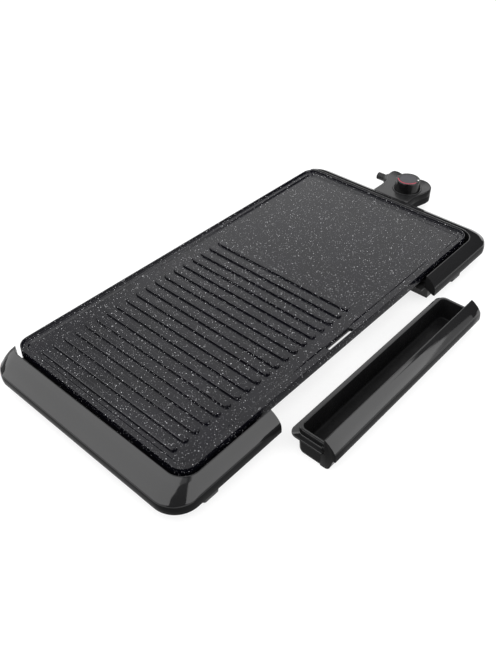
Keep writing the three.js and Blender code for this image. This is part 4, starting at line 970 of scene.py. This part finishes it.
def tray_panel(t, s, shift):
    """The front panel: its section carried along X, drawn in a little at both ends."""
    profile = tray_front(s)
    profile = profile[profile[:, 1] > PANEL_FOOT * MM]
    edge = s.gap + s.front_reach
    foot = [[edge, 17.7 * MM], [edge - 0.15 * MM, PANEL_FOOT * MM]]
    inner = filleted(np.array(PANEL_LOWER + PANEL_REAR) * MM, np.array(PANEL_RADII) * MM, 4)
    section = np.concatenate([np.array(PANEL_LIP) * MM, profile[1:], foot, inner])
    inward = section - section.mean(0)
    inward /= np.linalg.norm(inward, axis=1, keepdims=True)
    ends = t.panel_end - np.array([0, 0.12, 0.4]) * MM
    xs = np.concatenate([-ends, between(-120 * MM, 120 * MM, 20 * MM), ends[::-1]])
    drawn_in = np.zeros(len(xs))
    drawn_in[[0, -1]], drawn_in[[1, -2]] = 0.4 * MM, 0.12 * MM
    rings = [section - inward * step for step in drawn_in]
    return carried([np.stack([np.full(len(r), x), shift - HALF_Y - r[:, 0], r[:, 1]], 1) for x, r in zip(xs, rings)])


def tray_trough(t, shift):
    """The trough: rounded rectangles from the inside of the floor up the mouth, over the rim, down to the flange and
    along the body to the underside. A row is (half length, front, rear, front and rear corner radius, height)."""

    def mouth(z):
        inset = 3 * (40.1 - z) / 37.5
        return RIM_HALF - RIM_WIDTH - inset, 3 - inset / 2, RIM_REAR + RIM_WIDTH + inset, 2.0, 5.7, z

    def rim(inset, z):
        return RIM_HALF - inset, 5.6, RIM_REAR + inset, 0.3, 8 - inset, z

    def flange(inset, z):
        return FLANGE_HALF - inset, 5.6, FLANGE_REAR + inset, 0.3, 9 - inset, z

    def body(inset, z):
        return BODY_HALF - inset / 4, 10, BODY_REAR + inset, 0.3, 6, z

    top, low, floor = (height / MM for height in (t.rim_height, t.flange_height, t.floor_height))
    half, front, rear, *_ = mouth(floor)
    rows = [(half - 2.5, front - 1.6, rear + 2.5, 1.0, 3.6, floor)]
    rows += [(half - 0.7, front - 0.5, rear + 0.7, 1.6, 5.0, floor + 0.35)]
    rows += [mouth(z) for z in (floor + 1.2, floor + 8, top - 6, top - 0.5)]
    half, front, rear, r0, r1, _ = mouth(top)
    rows += [(half + 0.12, front, rear - 0.12, r0, r1, top - 0.12)]
    rows += [(half + 0.45, front + 0.3, rear - 0.45, r0, r1, top)]
    rows += [rim(0.5, top), rim(0.14, top - 0.12), rim(0, top - 0.5)]
    rows += [rim(0, low + 0.9), rim(-0.25, low + 0.25), rim(-0.9, low)]
    rows += [flange(0.5, low), flange(0.14, low - 0.14), flange(0, low - 0.5)]
    rows += [flange(0, low - 1.5), flange(0.14, low - 1.86), flange(0.5, low - 2)]
    rows += [(138.5, 5.8, -27, 0.3, 6.4, low - 2)]
    rows += [body(*row) for row in ((0, low - 2.4), (0.2, 16), (1.2, 4), (1.6, 2.8), (2.6, 1.1), (4, 0.45), (6, 0.4))]
    rings = []
    for x, front, rear, r0, r1, z in rows:
        y0, y1 = (shift - HALF_Y - offset * MM for offset in (front, rear))
        rings.append(ring(x * MM, y0, y1, r0 * MM, max(r1, 0.5) * MM, z * MM))
    return carried(rings)


class GRILL_OT_drip_tray(Operator):
    """Build the pull-out drip tray"""

    bl_idname = "grill.drip_tray"
    bl_label = "Drip tray"

    def execute(self, context):
        t, s, f = context.scene.grill_tray, context.scene.grill_frames, context.scene.grill_finishes
        rear = TRAY_OUT[1][1]
        shift = rear - CENTRE[1] - (-HALF_Y - FLANGE_REAR * MM)
        surface = joined(tray_panel(t, s, shift), tray_trough(t, shift))
        gloss = glossy_moulding(f)
        tray = make_piece(
            "drip_tray_moulding", surface, gloss, "tray", ["drip_tray"], angle=28, outward=True
        )

        def trough_shade_faces(middle, normal):
            inwards = np.array([CENTRE[0], rear - 23 * MM, 15 * MM]) - middle
            back = rear - middle[:, 1]
            inside = (np.abs(inwards[:, 0]) < CLEAR_HALF * MM) & (back < CLEAR_FRONT * MM) & (back > CLEAR_REAR * MM)
            return inside & ((inwards * normal).sum(1) > 0) & (middle[:, 2] < t.rim_height - 0.2 * MM)

        def below(middle, normal):
            return painted_shade_faces(middle, normal) & ~trough_shade_faces(middle, normal)

        # painted shade: the faces inside the trough that face its middle get the darker, low-shine copy of the
        # moulding
        second_finish(tray, dull_trough(f), trough_shade_faces)
        # painted shade: the tray's lower band and near-upright faces outside the trough get the darker, nearly
        # shineless copy
        second_finish(tray, lower_edge(f), below)
        return {"FINISHED"}


# ---------------------------------------------------------------- controller

# In millimetres: the housing's start and size along X and Y, its outline in shares of them, the tongue's end, the
# socket's middle and the cord sleeve's place
HOUSING_X, HOUSING_Y = (299, 49.3), (-27, 70.5)
HOUSING_SHARES = (
    (0, 0.075), (0.2, 0.055), (0.4, 0.02), (0.55, 0), (0.68, 0.005), (0.8, 0.045), (0.9, 0.11), (0.975, 0.2),
    (1, 0.29), (0.985, 0.36), (0.95, 0.42), (0.91, 0.5), (0.895, 0.62), (0.9, 0.76), (0.93, 0.84), (0.94, 0.9),
    (0.91, 0.97), (0.82, 1), (0.64, 0.995), (0.48, 0.955), (0.25, 0.885), (0, 0.87),
)
TONGUE_END = 263
SOCKET_Y, SOCKET_HEIGHT = 6.5, 22
KNOB = np.array([312, 0, 0]) * MM
SLEEVE_X, SLEEVE_START, SLEEVE_HEIGHT = 330, 43.5, 22.5
SLEEVE_COLLAR, SLEEVE_BORE, SLEEVE_RINGS, SLEEVE_PITCH = 7.6, 3, 5, 2.7
SCREW_WELL = 4.6


def housing_points(shares):
    return [(HOUSING_X[0] + HOUSING_X[1] * u, HOUSING_Y[0] + HOUSING_Y[1] * v) for u, v in shares]


SCREWS = np.array(housing_points([(0.3, 0.2), (0.75, 0.72)]) + [(TONGUE_END + HOUSING_X[1] / 4, SOCKET_Y)]) * MM


def housing_outline():
    """The controller seen from above: a straight-sided tongue, and a body on one smooth curve."""
    start = HOUSING_X[0]
    tongue = filleted([(start, 34.5), (TONGUE_END, 35), (TONGUE_END, -22), (start, -22)], [0, 3, 1.6, 0], 6)
    line = np.concatenate([through(housing_points(HOUSING_SHARES), 6), tongue[1:-1]]) * MM
    steps = np.linalg.norm(np.roll(line, -1, 0) - line, axis=1)
    return line[steps > 1e-6]


def inset_outline(line, inset):
    """A closed outline set back along the normal of its neighbours' chord."""
    chord = np.roll(line, -1, 0) - np.roll(line, 1, 0)
    chord /= np.linalg.norm(chord, axis=1, keepdims=True)
    return line + np.stack([-chord[:, 1], chord[:, 0]], 1) * inset


def outline_rows(line, rows):
    return [np.concatenate([inset_outline(line, inset), np.full((len(line), 1), z)], 1) for inset, z in rows]


def rounded_edge(edge, z, direction, steps=7):
    """Rows of (inset, height) for a quarter circle from the side wall to the flat at height z."""
    a = np.linspace(0, math.pi / 2, steps)
    return [(edge * (1 - math.cos(k)), z - direction * edge * (1 - math.sin(k))) for k in a]


def seam(split, direction):
    """Rows of (inset, height) for the fine groove between the two shells, from its bottom to the side wall."""
    steps = ((0.9, 0), (0.28, 0), (0.1, 0.1), (0, 0.3))
    return [(inset * MM, split + direction * rise * MM) for inset, rise in steps]


def upper_shell(c):
    walls = carried(outline_rows(housing_outline(), seam(c.split, 1) + rounded_edge(c.edge, c.top, 1)))
    collar = [(20.9, -0.3), (20.5, 0), (20.3, 1.2), (18.5, 1.2), (18.35, -0.1)]
    collar = filleted(collar, [0, 0.3, 0.45, 0.3, 0], 4) * MM + [0, c.top]
    return joined(walls, turned(collar[::-1], KNOB, steps=120))


def lower_shell(c):
    line = housing_outline()
    edge = [(c.edge * 2, c.bottom + 0.02 * MM)] + rounded_edge(c.edge, c.bottom, -1)[::-1]
    walls = np.stack(outline_rows(line, edge + seam(c.split, -1)[::-1]))
    top = np.stack(outline_rows(line, [(0.9 * MM, c.split), (3 * MM, c.split - 0.01 * MM)]))

    def keep(middle, normal):
        near = np.linalg.norm(middle[:, None, :2] - SCREWS, axis=2).min(1) < SCREW_WELL * MM
        return (middle[:, 2] < c.bottom + 0.05 * MM) | near

    return joined(sheet(walls, closed=True), sheet(top, closed=True), cad_copy("controller_lower_shell", keep))


def relief_profile(c):
    """The cord sleeve turned about Y: a round collar, then five ribs and grooves to an open mouth, and its bore."""
    start, collar, foot = SLEEVE_START, SLEEVE_COLLAR, SLEEVE_START - 3.7
    groove, crest = c.relief_radius / MM - 1.6, c.relief_radius / MM + 0.3
    points = [(0, foot), (collar, foot), (collar, start + 1.6), (collar - 1, start + 2.8), (groove, start + 2.8)]
    for y in start + 3.8 + SLEEVE_PITCH * np.arange(SLEEVE_RINGS):
        end = y + SLEEVE_PITCH - 1.2
        points += [(groove, y), (crest, y + 0.2), (crest, end - 0.2), (groove, end)]
    points += [(SLEEVE_BORE, end), (SLEEVE_BORE, start + 2), (0, start + 2)]
    radii = [0, 0.4, 0.8] + [0.3] * (len(points) - 6) + [0.5, 0.3, 0]
    return filleted(points, radii, 4) * MM


class GRILL_OT_controller(Operator):
    """Build the plug-in controller's two shells and its cord sleeve"""

    bl_idname = "grill.controller"
    bl_label = "Controller"

    def execute(self, context):
        c, f = context.scene.grill_controller, context.scene.grill_finishes
        gloss = glossy_moulding(f, "satin_moulding", duller=0.13)
        for name, surface in (("upper_shell", upper_shell(c)), ("lower_shell", lower_shell(c))):
            piece = make_piece(name, surface, gloss, "controller", ["controller_" + name], angle=30)
            # painted shade: the controller's steep sides get the darker, nearly shineless copy of the moulding
            second_finish(piece, lower_edge(f), lambda middle, normal: np.abs(normal[:, 2]) < 0.6)
        sleeve = turned(relief_profile(c), [SLEEVE_X * MM, 0, SLEEVE_HEIGHT * MM], axis="y", steps=64)
        hose = rubber(f, "sleeve_rubber", 0.5, 0.3)
        make_piece(
            "cord_sleeve", sleeve, hose, "controller", ["strain_relief"], angle=35, outward=True
        )
        return {"FINISHED"}


# ---------------------------------------------------------------- knob


def knob_body(c):
    """The knob turned about its axis: a gently tapered side, a rounded shoulder and a shallow recess for the disc."""
    r, top, base = c.knob_radius / MM, (c.top + c.knob_height) / MM, c.top / MM + 0.4
    side = [(0, base), (r - 0.5, base), (r, base + 0.6), (16.5, top - 1.5), (16.15, top - 0.3)]
    recess = [(15.3, top), (12.4, top), (12.4, top - 0.55), (0, top - 0.55)]
    return filleted(side + recess, [0, 0.3, 0.6, 0.8, 0.6, 0.4, 0.2, 0.15, 0], 6) * MM


def annulus_sector(inner, outer, start, sweep, low, high, steps=48):
    """A flat arc band: its four corner lines carried through the sweep and closed at both ends."""
    a = np.radians(np.linspace(start, start + sweep, steps))
    e = 0.12
    section = [(inner, low), (inner, high - e), (inner + e, high), (outer - e, high), (outer, high - e), (outer, low)]
    grid = [np.stack([r * np.cos(a), r * np.sin(a), np.full(steps, z)], 1) for r, z in np.array(section) * MM]
    points, faces = carried(np.stack(grid, 1))
    return points + KNOB, faces


# The inlays, in millimetres and degrees
DISC_RADIUS = 12.28
ARC_RADII, ARC_START, ARC_SWEEP = (13, 14.8), 122, 140
POINTER_RADIUS, POINTER_PLACE, POINTER_ANGLE = 1.4, 13.8, -66


class GRILL_OT_knob(Operator):
    """Build the round knob with its disc, heat arc and pointer dot"""

    bl_idname = "grill.knob"
    bl_label = "Knob"

    def execute(self, context):
        c, f = context.scene.grill_controller, context.scene.grill_finishes
        top = (c.top + c.knob_height) / MM
        r, raised = DISC_RADIUS, top + 0.02
        disc = [(0, top - 0.56), (r, top - 0.56), (r, top - 0.06), (r - 0.28, raised), (0, raised)]
        r, raised = POINTER_RADIUS, top + 0.07
        dot = [(0, top - 0.5), (r, top - 0.5), (r, top - 0.05), (r - 0.2, raised), (0, raised)]
        angle = math.radians(POINTER_ANGLE)
        spot = KNOB + POINTER_PLACE * MM * np.array([math.cos(angle), math.sin(angle), 0])
        side = glossy_moulding(f, "knob_moulding", duller=0.16, depth=0.25)
        face, red = printed("knob_disc", f.knob_top, 0.35), printed("knob_arc", f.knob_arc, 0.38)
        white = printed("knob_white", (0.82, 0.82, 0.8), 0.45)
        body = turned(knob_body(c), KNOB, steps=144)
        make_piece("knob_body", body, side, "knob", ["knob"], angle=35, outward=True)
        disc = turned(filleted(disc, 0.15, 3) * MM, KNOB, steps=120)
        make_piece("knob_face", disc, face, "knob", ["knob_disc"], outward=True)
        arc = annulus_sector(*ARC_RADII, ARC_START, ARC_SWEEP, top - 0.5, raised)
        make_piece("heat_arc", arc, red, "knob", ["knob_arc"], outward=True)
        dot = turned(filleted(dot, 0.1, 3) * MM, spot, steps=32)
        make_piece("pointer_dot", dot, white, "knob", ["knob_pointer"], outward=True)
        return {"FINISHED"}


# ---------------------------------------------------------------- element and small parts

# The element, in millimetres: insets of its loop from the plate's front, rear, left and right edges, and of its ends
LOOP_INSETS = (56.5, 52.5, 48, 79)
TERMINAL_INSET = 47.3
LOOP_DEPTH = 12.6
LOOP_BEND, TERMINAL_BEND = 22, 12
TUBE_RADIUS = 4
PIN_SPACING = 24


def bezier(points, count):
    """A Bezier curve of the degree that its corner points give."""
    t = np.linspace(0, 1, count)[:, None]
    degree = len(points) - 1
    return sum(
        math.comb(degree, k) * t**k * (1 - t) ** (degree - k) * np.array(point) for k, point in enumerate(points)
    )


def element_line():
    """The element's middle line: straight runs, quadratic bends at the corners and an S down to each terminal."""
    z, low = CREST - LOOP_DEPTH * MM, SOCKET_HEIGHT * MM
    front, rear, left, right = (inset * MM for inset in LOOP_INSETS)
    front, rear, left, right = front - HALF_Y, HALF_Y - rear, left - HALF_X, HALF_X - right
    ya, yb = (SOCKET_Y - PIN_SPACING / 2) * MM, (SOCKET_Y + PIN_SPACING / 2) * MM
    end, bend, small = HALF_X - TERMINAL_INSET * MM, LOOP_BEND * MM, TERMINAL_BEND * MM
    drop = [(end - small / 2, low), (end - small, low), (right + small * 1.6, z), (right + small, z)]
    loop = [(right, front), (left, front), (left, rear), (right, rear)]
    plan = np.array([(end, ya), (right, ya), *loop, (right, yb), (end, yb)])
    bends = []
    for before, corner, after, reach in zip(plan[:-2], plan[1:-1], plan[2:], (small, *[bend] * 4, small)):
        start, stop = (corner + np.sign(other - corner) * reach for other in (before, after))
        bends.append([(*place, z) for place in (start, corner, stop)])
    runs = [([(end, ya, low), (end - small / 2, ya, low)], 3)]
    runs += [([(x, ya, height) for x, height in drop], 14), (bends[0], 14)]
    for one, other, count in zip(bends[:-1], bends[1:], (6, 20, 6, 20, 6)):
        runs += [([one[-1], other[0]], count), (other, 14)]
    runs += [([(x, yb, height) for x, height in drop[::-1]], 14)]
    runs += [([(end - small / 2, yb, low), (end, yb, low)], 3)]
    path = np.concatenate([bezier(points, count) for points, count in runs])
    step = np.linalg.norm(np.diff(path, axis=0, append=path[:1] + 1), axis=1)
    return path[step > 1e-6]


def tube(path, radius, sides=20):
    """A round tube: circles in the plane of the path's level normal and its upward one."""
    along = np.gradient(path, axis=0)
    along /= np.linalg.norm(along, axis=1, keepdims=True)
    level = np.cross(along, [0, 0, 1])
    level /= np.linalg.norm(level, axis=1, keepdims=True)
    up = np.cross(level, along)
    a = np.linspace(0, 2 * math.pi, sides, endpoint=False)
    circle = np.cos(a)[:, None] * level[:, None] + np.sin(a)[:, None] * up[:, None]
    return carried(path[:, None] + radius * circle)


class GRILL_OT_element(Operator):
    """Build the tubular heating element"""

    bl_idname = "grill.element"
    bl_label = "Heating element"

    def execute(self, context):
        scorched = heated_steel(context.scene.grill_finishes)
        loop = tube(element_line(), TUBE_RADIUS * MM)
        make_piece("element_tube", loop, scorched, "grill", ["heating_element"], angle=40, outward=True)
        return {"FINISHED"}


class GRILL_OT_small_parts(Operator):
    """Give every carried-over part its finish: base mouldings, pads, screws, guard, terminals, contacts and probe"""

    bl_idname = "grill.small_parts"
    bl_label = "Small parts"

    def execute(self, context):
        f = context.scene.grill_finishes
        looks = {
            "_base": matt_moulding(f),
            "contact_block": matt_moulding(f, "contact_moulding", 0.0005, roughness=0.45),
            "foot_pad": rubber(f),
            "screw": steel(f, "zinc_screw", f.steel, 0.36, (1, 1, 6)),
            "terminal_guard": steel(f, "zinc_sheet", darker(f.steel, 0.92), 0.4, (0.4, 8, 8)),
            "terminal_pin": steel(f, "turned_pin", darker(f.steel, 1.1), 0.24, (9, 1, 1)),
            "probe": steel(f, "drawn_probe", darker(f.steel, 1.05), 0.3, (0.6, 7, 7)),
            "terminal_bush": ceramic(),
            "socket_contact": steel(f, "brass_sleeve", (0.72, 0.54, 0.24), 0.28, (0.8, 6, 6)),
        }
        for name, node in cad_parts.items():
            material = next((look for part, look in looks.items() if part in name), None)
            if material:
                node.data.materials.clear()
                node.data.materials.append(material)
        return {"FINISHED"}


# ---------------------------------------------------------------- stage

# Each soft box: name, azimuth, elevation and distance of its middle, its width and height, and its brightness setting
SOFT_BOXES = (
    ("right_box", -76, 41, 2.0, 2.45, 3.6, "boxes"),
    ("left_box", 138, 50, 2.0, 3.1, 2.5, "boxes"),
    ("rear_box", 35, 36, 2.4, 1.8, 1.9, "rear"),
)

# Each dark card: name, its ends in azimuth, its ends in elevation, and its tone
DARK_CARDS = (
    ("camera_side_card", -165, -119, 0, 89.5, 0.01),
    ("overhead_card", 22, 78, 62, 89.5, 0.01),
    ("right_side_card", -43, 5, 0, 39.6, 0.01),
    ("far_side_card", 5, 34, 0, 20.8, 0.01),
    ("left_side_card", 112, 168, 0, 16.2, 0.3),
)
CARD_DISTANCE = 1.45
FLOOR_HALF = 4.0


def towards(azimuth, elevation, distance):
    """The point or points at a distance from the middle of the part's footprint; the angles are in degrees."""
    a, e = np.radians(azimuth), np.radians(elevation)
    return distance * np.stack([np.cos(e) * np.cos(a), np.cos(e) * np.sin(a), np.sin(e)], -1)


def stage_mesh(name, points, faces, material):
    """A mesh that belongs to the stage and not to the part."""
    mesh = bpy.data.meshes.new(name)
    mesh.from_pydata(points, [], faces)
    mesh.materials.append(material)
    return add_object(name, mesh)


def soft_box(name, azimuth, elevation, distance, width, height, brightness):
    """A rectangular soft box that faces the part: its power is pi times its area times its brightness."""
    data = bpy.data.lights.new(name, "AREA")
    data.shape, data.size, data.size_y = "RECTANGLE", width, height
    data.energy = math.pi * width * height * brightness
    box = add_object(name, data)
    box.location = towards(azimuth, elevation, distance)
    box.rotation_euler = (-box.location).to_track_quat("-Z", "Y").to_euler()
    box.visible_camera = False


def dark_card(name, start, end, low, high, tone):
    """A dark card bent to a patch of a sphere round the part, as in a studio: only reflections see it."""
    azimuth, elevation = np.meshgrid(np.linspace(start, end, 12), np.linspace(low, high, 12))
    points, faces = sheet(towards(azimuth, elevation, CARD_DISTANCE))
    look = Look(name, Roughness=1.0, Specular_IOR_Level=0.0)
    shade = look.mix(look.noise(2), (tone, tone, tone), darker((tone, tone, tone), 1.2))
    look.link(shade, look.shader.inputs["Base Color"])
    card = stage_mesh(name, points.tolist(), [face.tolist() for face in faces], look.material)
    card.visible_camera = card.visible_diffuse = card.visible_shadow = card.visible_transmission = False


def floor_material(s):
    """A pale floor: it shows as white to the camera and to reflections, and keeps the object's shadow. Its glow grows
    with the distance, where less light reaches it."""
    look = Look("pale_floor", Roughness=0.9, Specular_IOR_Level=0.1)
    tone = look.mix(look.drift(3, 0.4, 0.6, detail=2), darker(s.floor, 0.995), s.floor)
    look.link(tone, look.shader.inputs["Base Color"])
    away = look.node("ShaderNodeVectorMath", operation="LENGTH")
    look.link(look.place, away.inputs[0])
    glow = look.ramp(away.outputs["Value"], 1.1, 2.6, 0.76, 1.0)
    look.shader.inputs["Emission Color"].default_value = (1, 1, 1, 1)
    look.link(look.math("MULTIPLY", look.seen(), glow), look.shader.inputs["Emission Strength"])
    return look.material


def surround(s):
    """The world: white to the rays that show the background, and a weak even light to the others."""
    scene = bpy.context.scene
    scene.world = scene.world or bpy.data.worlds.new("surround")
    tree = Tree(scene.world)
    mixer = tree.node("ShaderNodeMixShader")
    tree.link(tree.seen(), mixer.inputs["Fac"])
    for socket, strength in ((mixer.inputs[1], s.sky), (mixer.inputs[2], 1.0)):
        background = tree.node("ShaderNodeBackground")
        background.inputs["Color"].default_value = (1, 1, 1, 1)
        background.inputs["Strength"].default_value = strength
        tree.link(background.outputs[0], socket)
    tree.link(mixer.outputs[0], tree.node("ShaderNodeOutputWorld").inputs["Surface"])


def camera(s):
    """The photograph's camera, from its heading, pitch and roll."""
    data = bpy.data.cameras.new("camera")
    data.sensor_fit, data.sensor_height, data.sensor_width = "VERTICAL", 36, 36
    data.lens = s.lens
    data.clip_start, data.clip_end = 0.01, 50
    heading, pitch = s.heading, s.pitch
    look = Vector((math.cos(pitch) * math.cos(heading), math.cos(pitch) * math.sin(heading), -math.sin(pitch)))
    level = Vector((math.sin(heading), -math.cos(heading), 0))
    right = level * math.cos(s.roll) + level.cross(look) * math.sin(s.roll)
    turn = Matrix((right, right.cross(look), -look)).transposed().to_4x4()
    bpy.context.scene.camera = add_object("camera", data)
    bpy.context.scene.camera.matrix_world = Matrix.Translation(s.place) @ turn


class GRILL_OT_stage(Operator):
    """Set up the floor, the soft studio light and the camera"""

    bl_idname = "grill.stage"
    bl_label = "Stage"

    def execute(self, context):
        s = context.scene.grill_stage
        corners = [(x * FLOOR_HALF, y * FLOOR_HALF, 0) for x, y in ((-1, -1), (1, -1), (1, 1), (-1, 1))]
        floor = stage_mesh("floor", corners, [(0, 1, 2, 3)], floor_material(s))
        for *box, brightness in SOFT_BOXES:
            soft_box(*box, getattr(s, brightness))
        for card in DARK_CARDS:
            dark_card(*card)
        surround(s)
        camera(s)
        context.scene.view_settings.view_transform = "Standard"
        return {"FINISHED"}


# ---------------------------------------------------------------- panel and registration


class GRILL_PT_panel(Panel):
    """The grill's pieces and their settings"""

    bl_idname = "GRILL_PT_panel"
    bl_label = "Table grill"
    bl_space_type = "VIEW_3D"
    bl_region_type = "UI"
    bl_category = "Table grill"

    def draw(self, context):
        for kind in STEPS:
            self.layout.operator(kind.bl_idname)
        for name in GROUPS:
            box = self.layout.box()
            group = getattr(context.scene, name)
            for key in group.__annotations__:
                box.prop(group, key)


STEPS = (
    GRILL_OT_plate,
    GRILL_OT_end_frames,
    GRILL_OT_drip_tray,
    GRILL_OT_controller,
    GRILL_OT_knob,
    GRILL_OT_element,
    GRILL_OT_small_parts,
    GRILL_OT_stage,
)
GROUPS = {
    "grill_plate": PlateSizes,
    "grill_frames": FrameSizes,
    "grill_tray": TraySizes,
    "grill_controller": ControllerSizes,
    "grill_finishes": Finishes,
    "grill_stage": StageSettings,
}
CLASSES = (*GROUPS.values(), *STEPS, GRILL_PT_panel)


def register():
    for kind in CLASSES:
        bpy.utils.register_class(kind)
    for name, kind in GROUPS.items():
        setattr(bpy.types.Scene, name, PointerProperty(type=kind))


def unregister():
    for name in GROUPS:
        delattr(bpy.types.Scene, name)
    for kind in reversed(CLASSES):
        bpy.utils.unregister_class(kind)


def main():
    register()
    bpy.ops.grill.plate()
    bpy.ops.grill.end_frames()
    bpy.ops.grill.drip_tray()
    bpy.ops.grill.controller()
    bpy.ops.grill.knob()
    bpy.ops.grill.element()
    bpy.ops.grill.small_parts()
    bpy.ops.grill.stage()


if __name__ == "__main__":
    main()
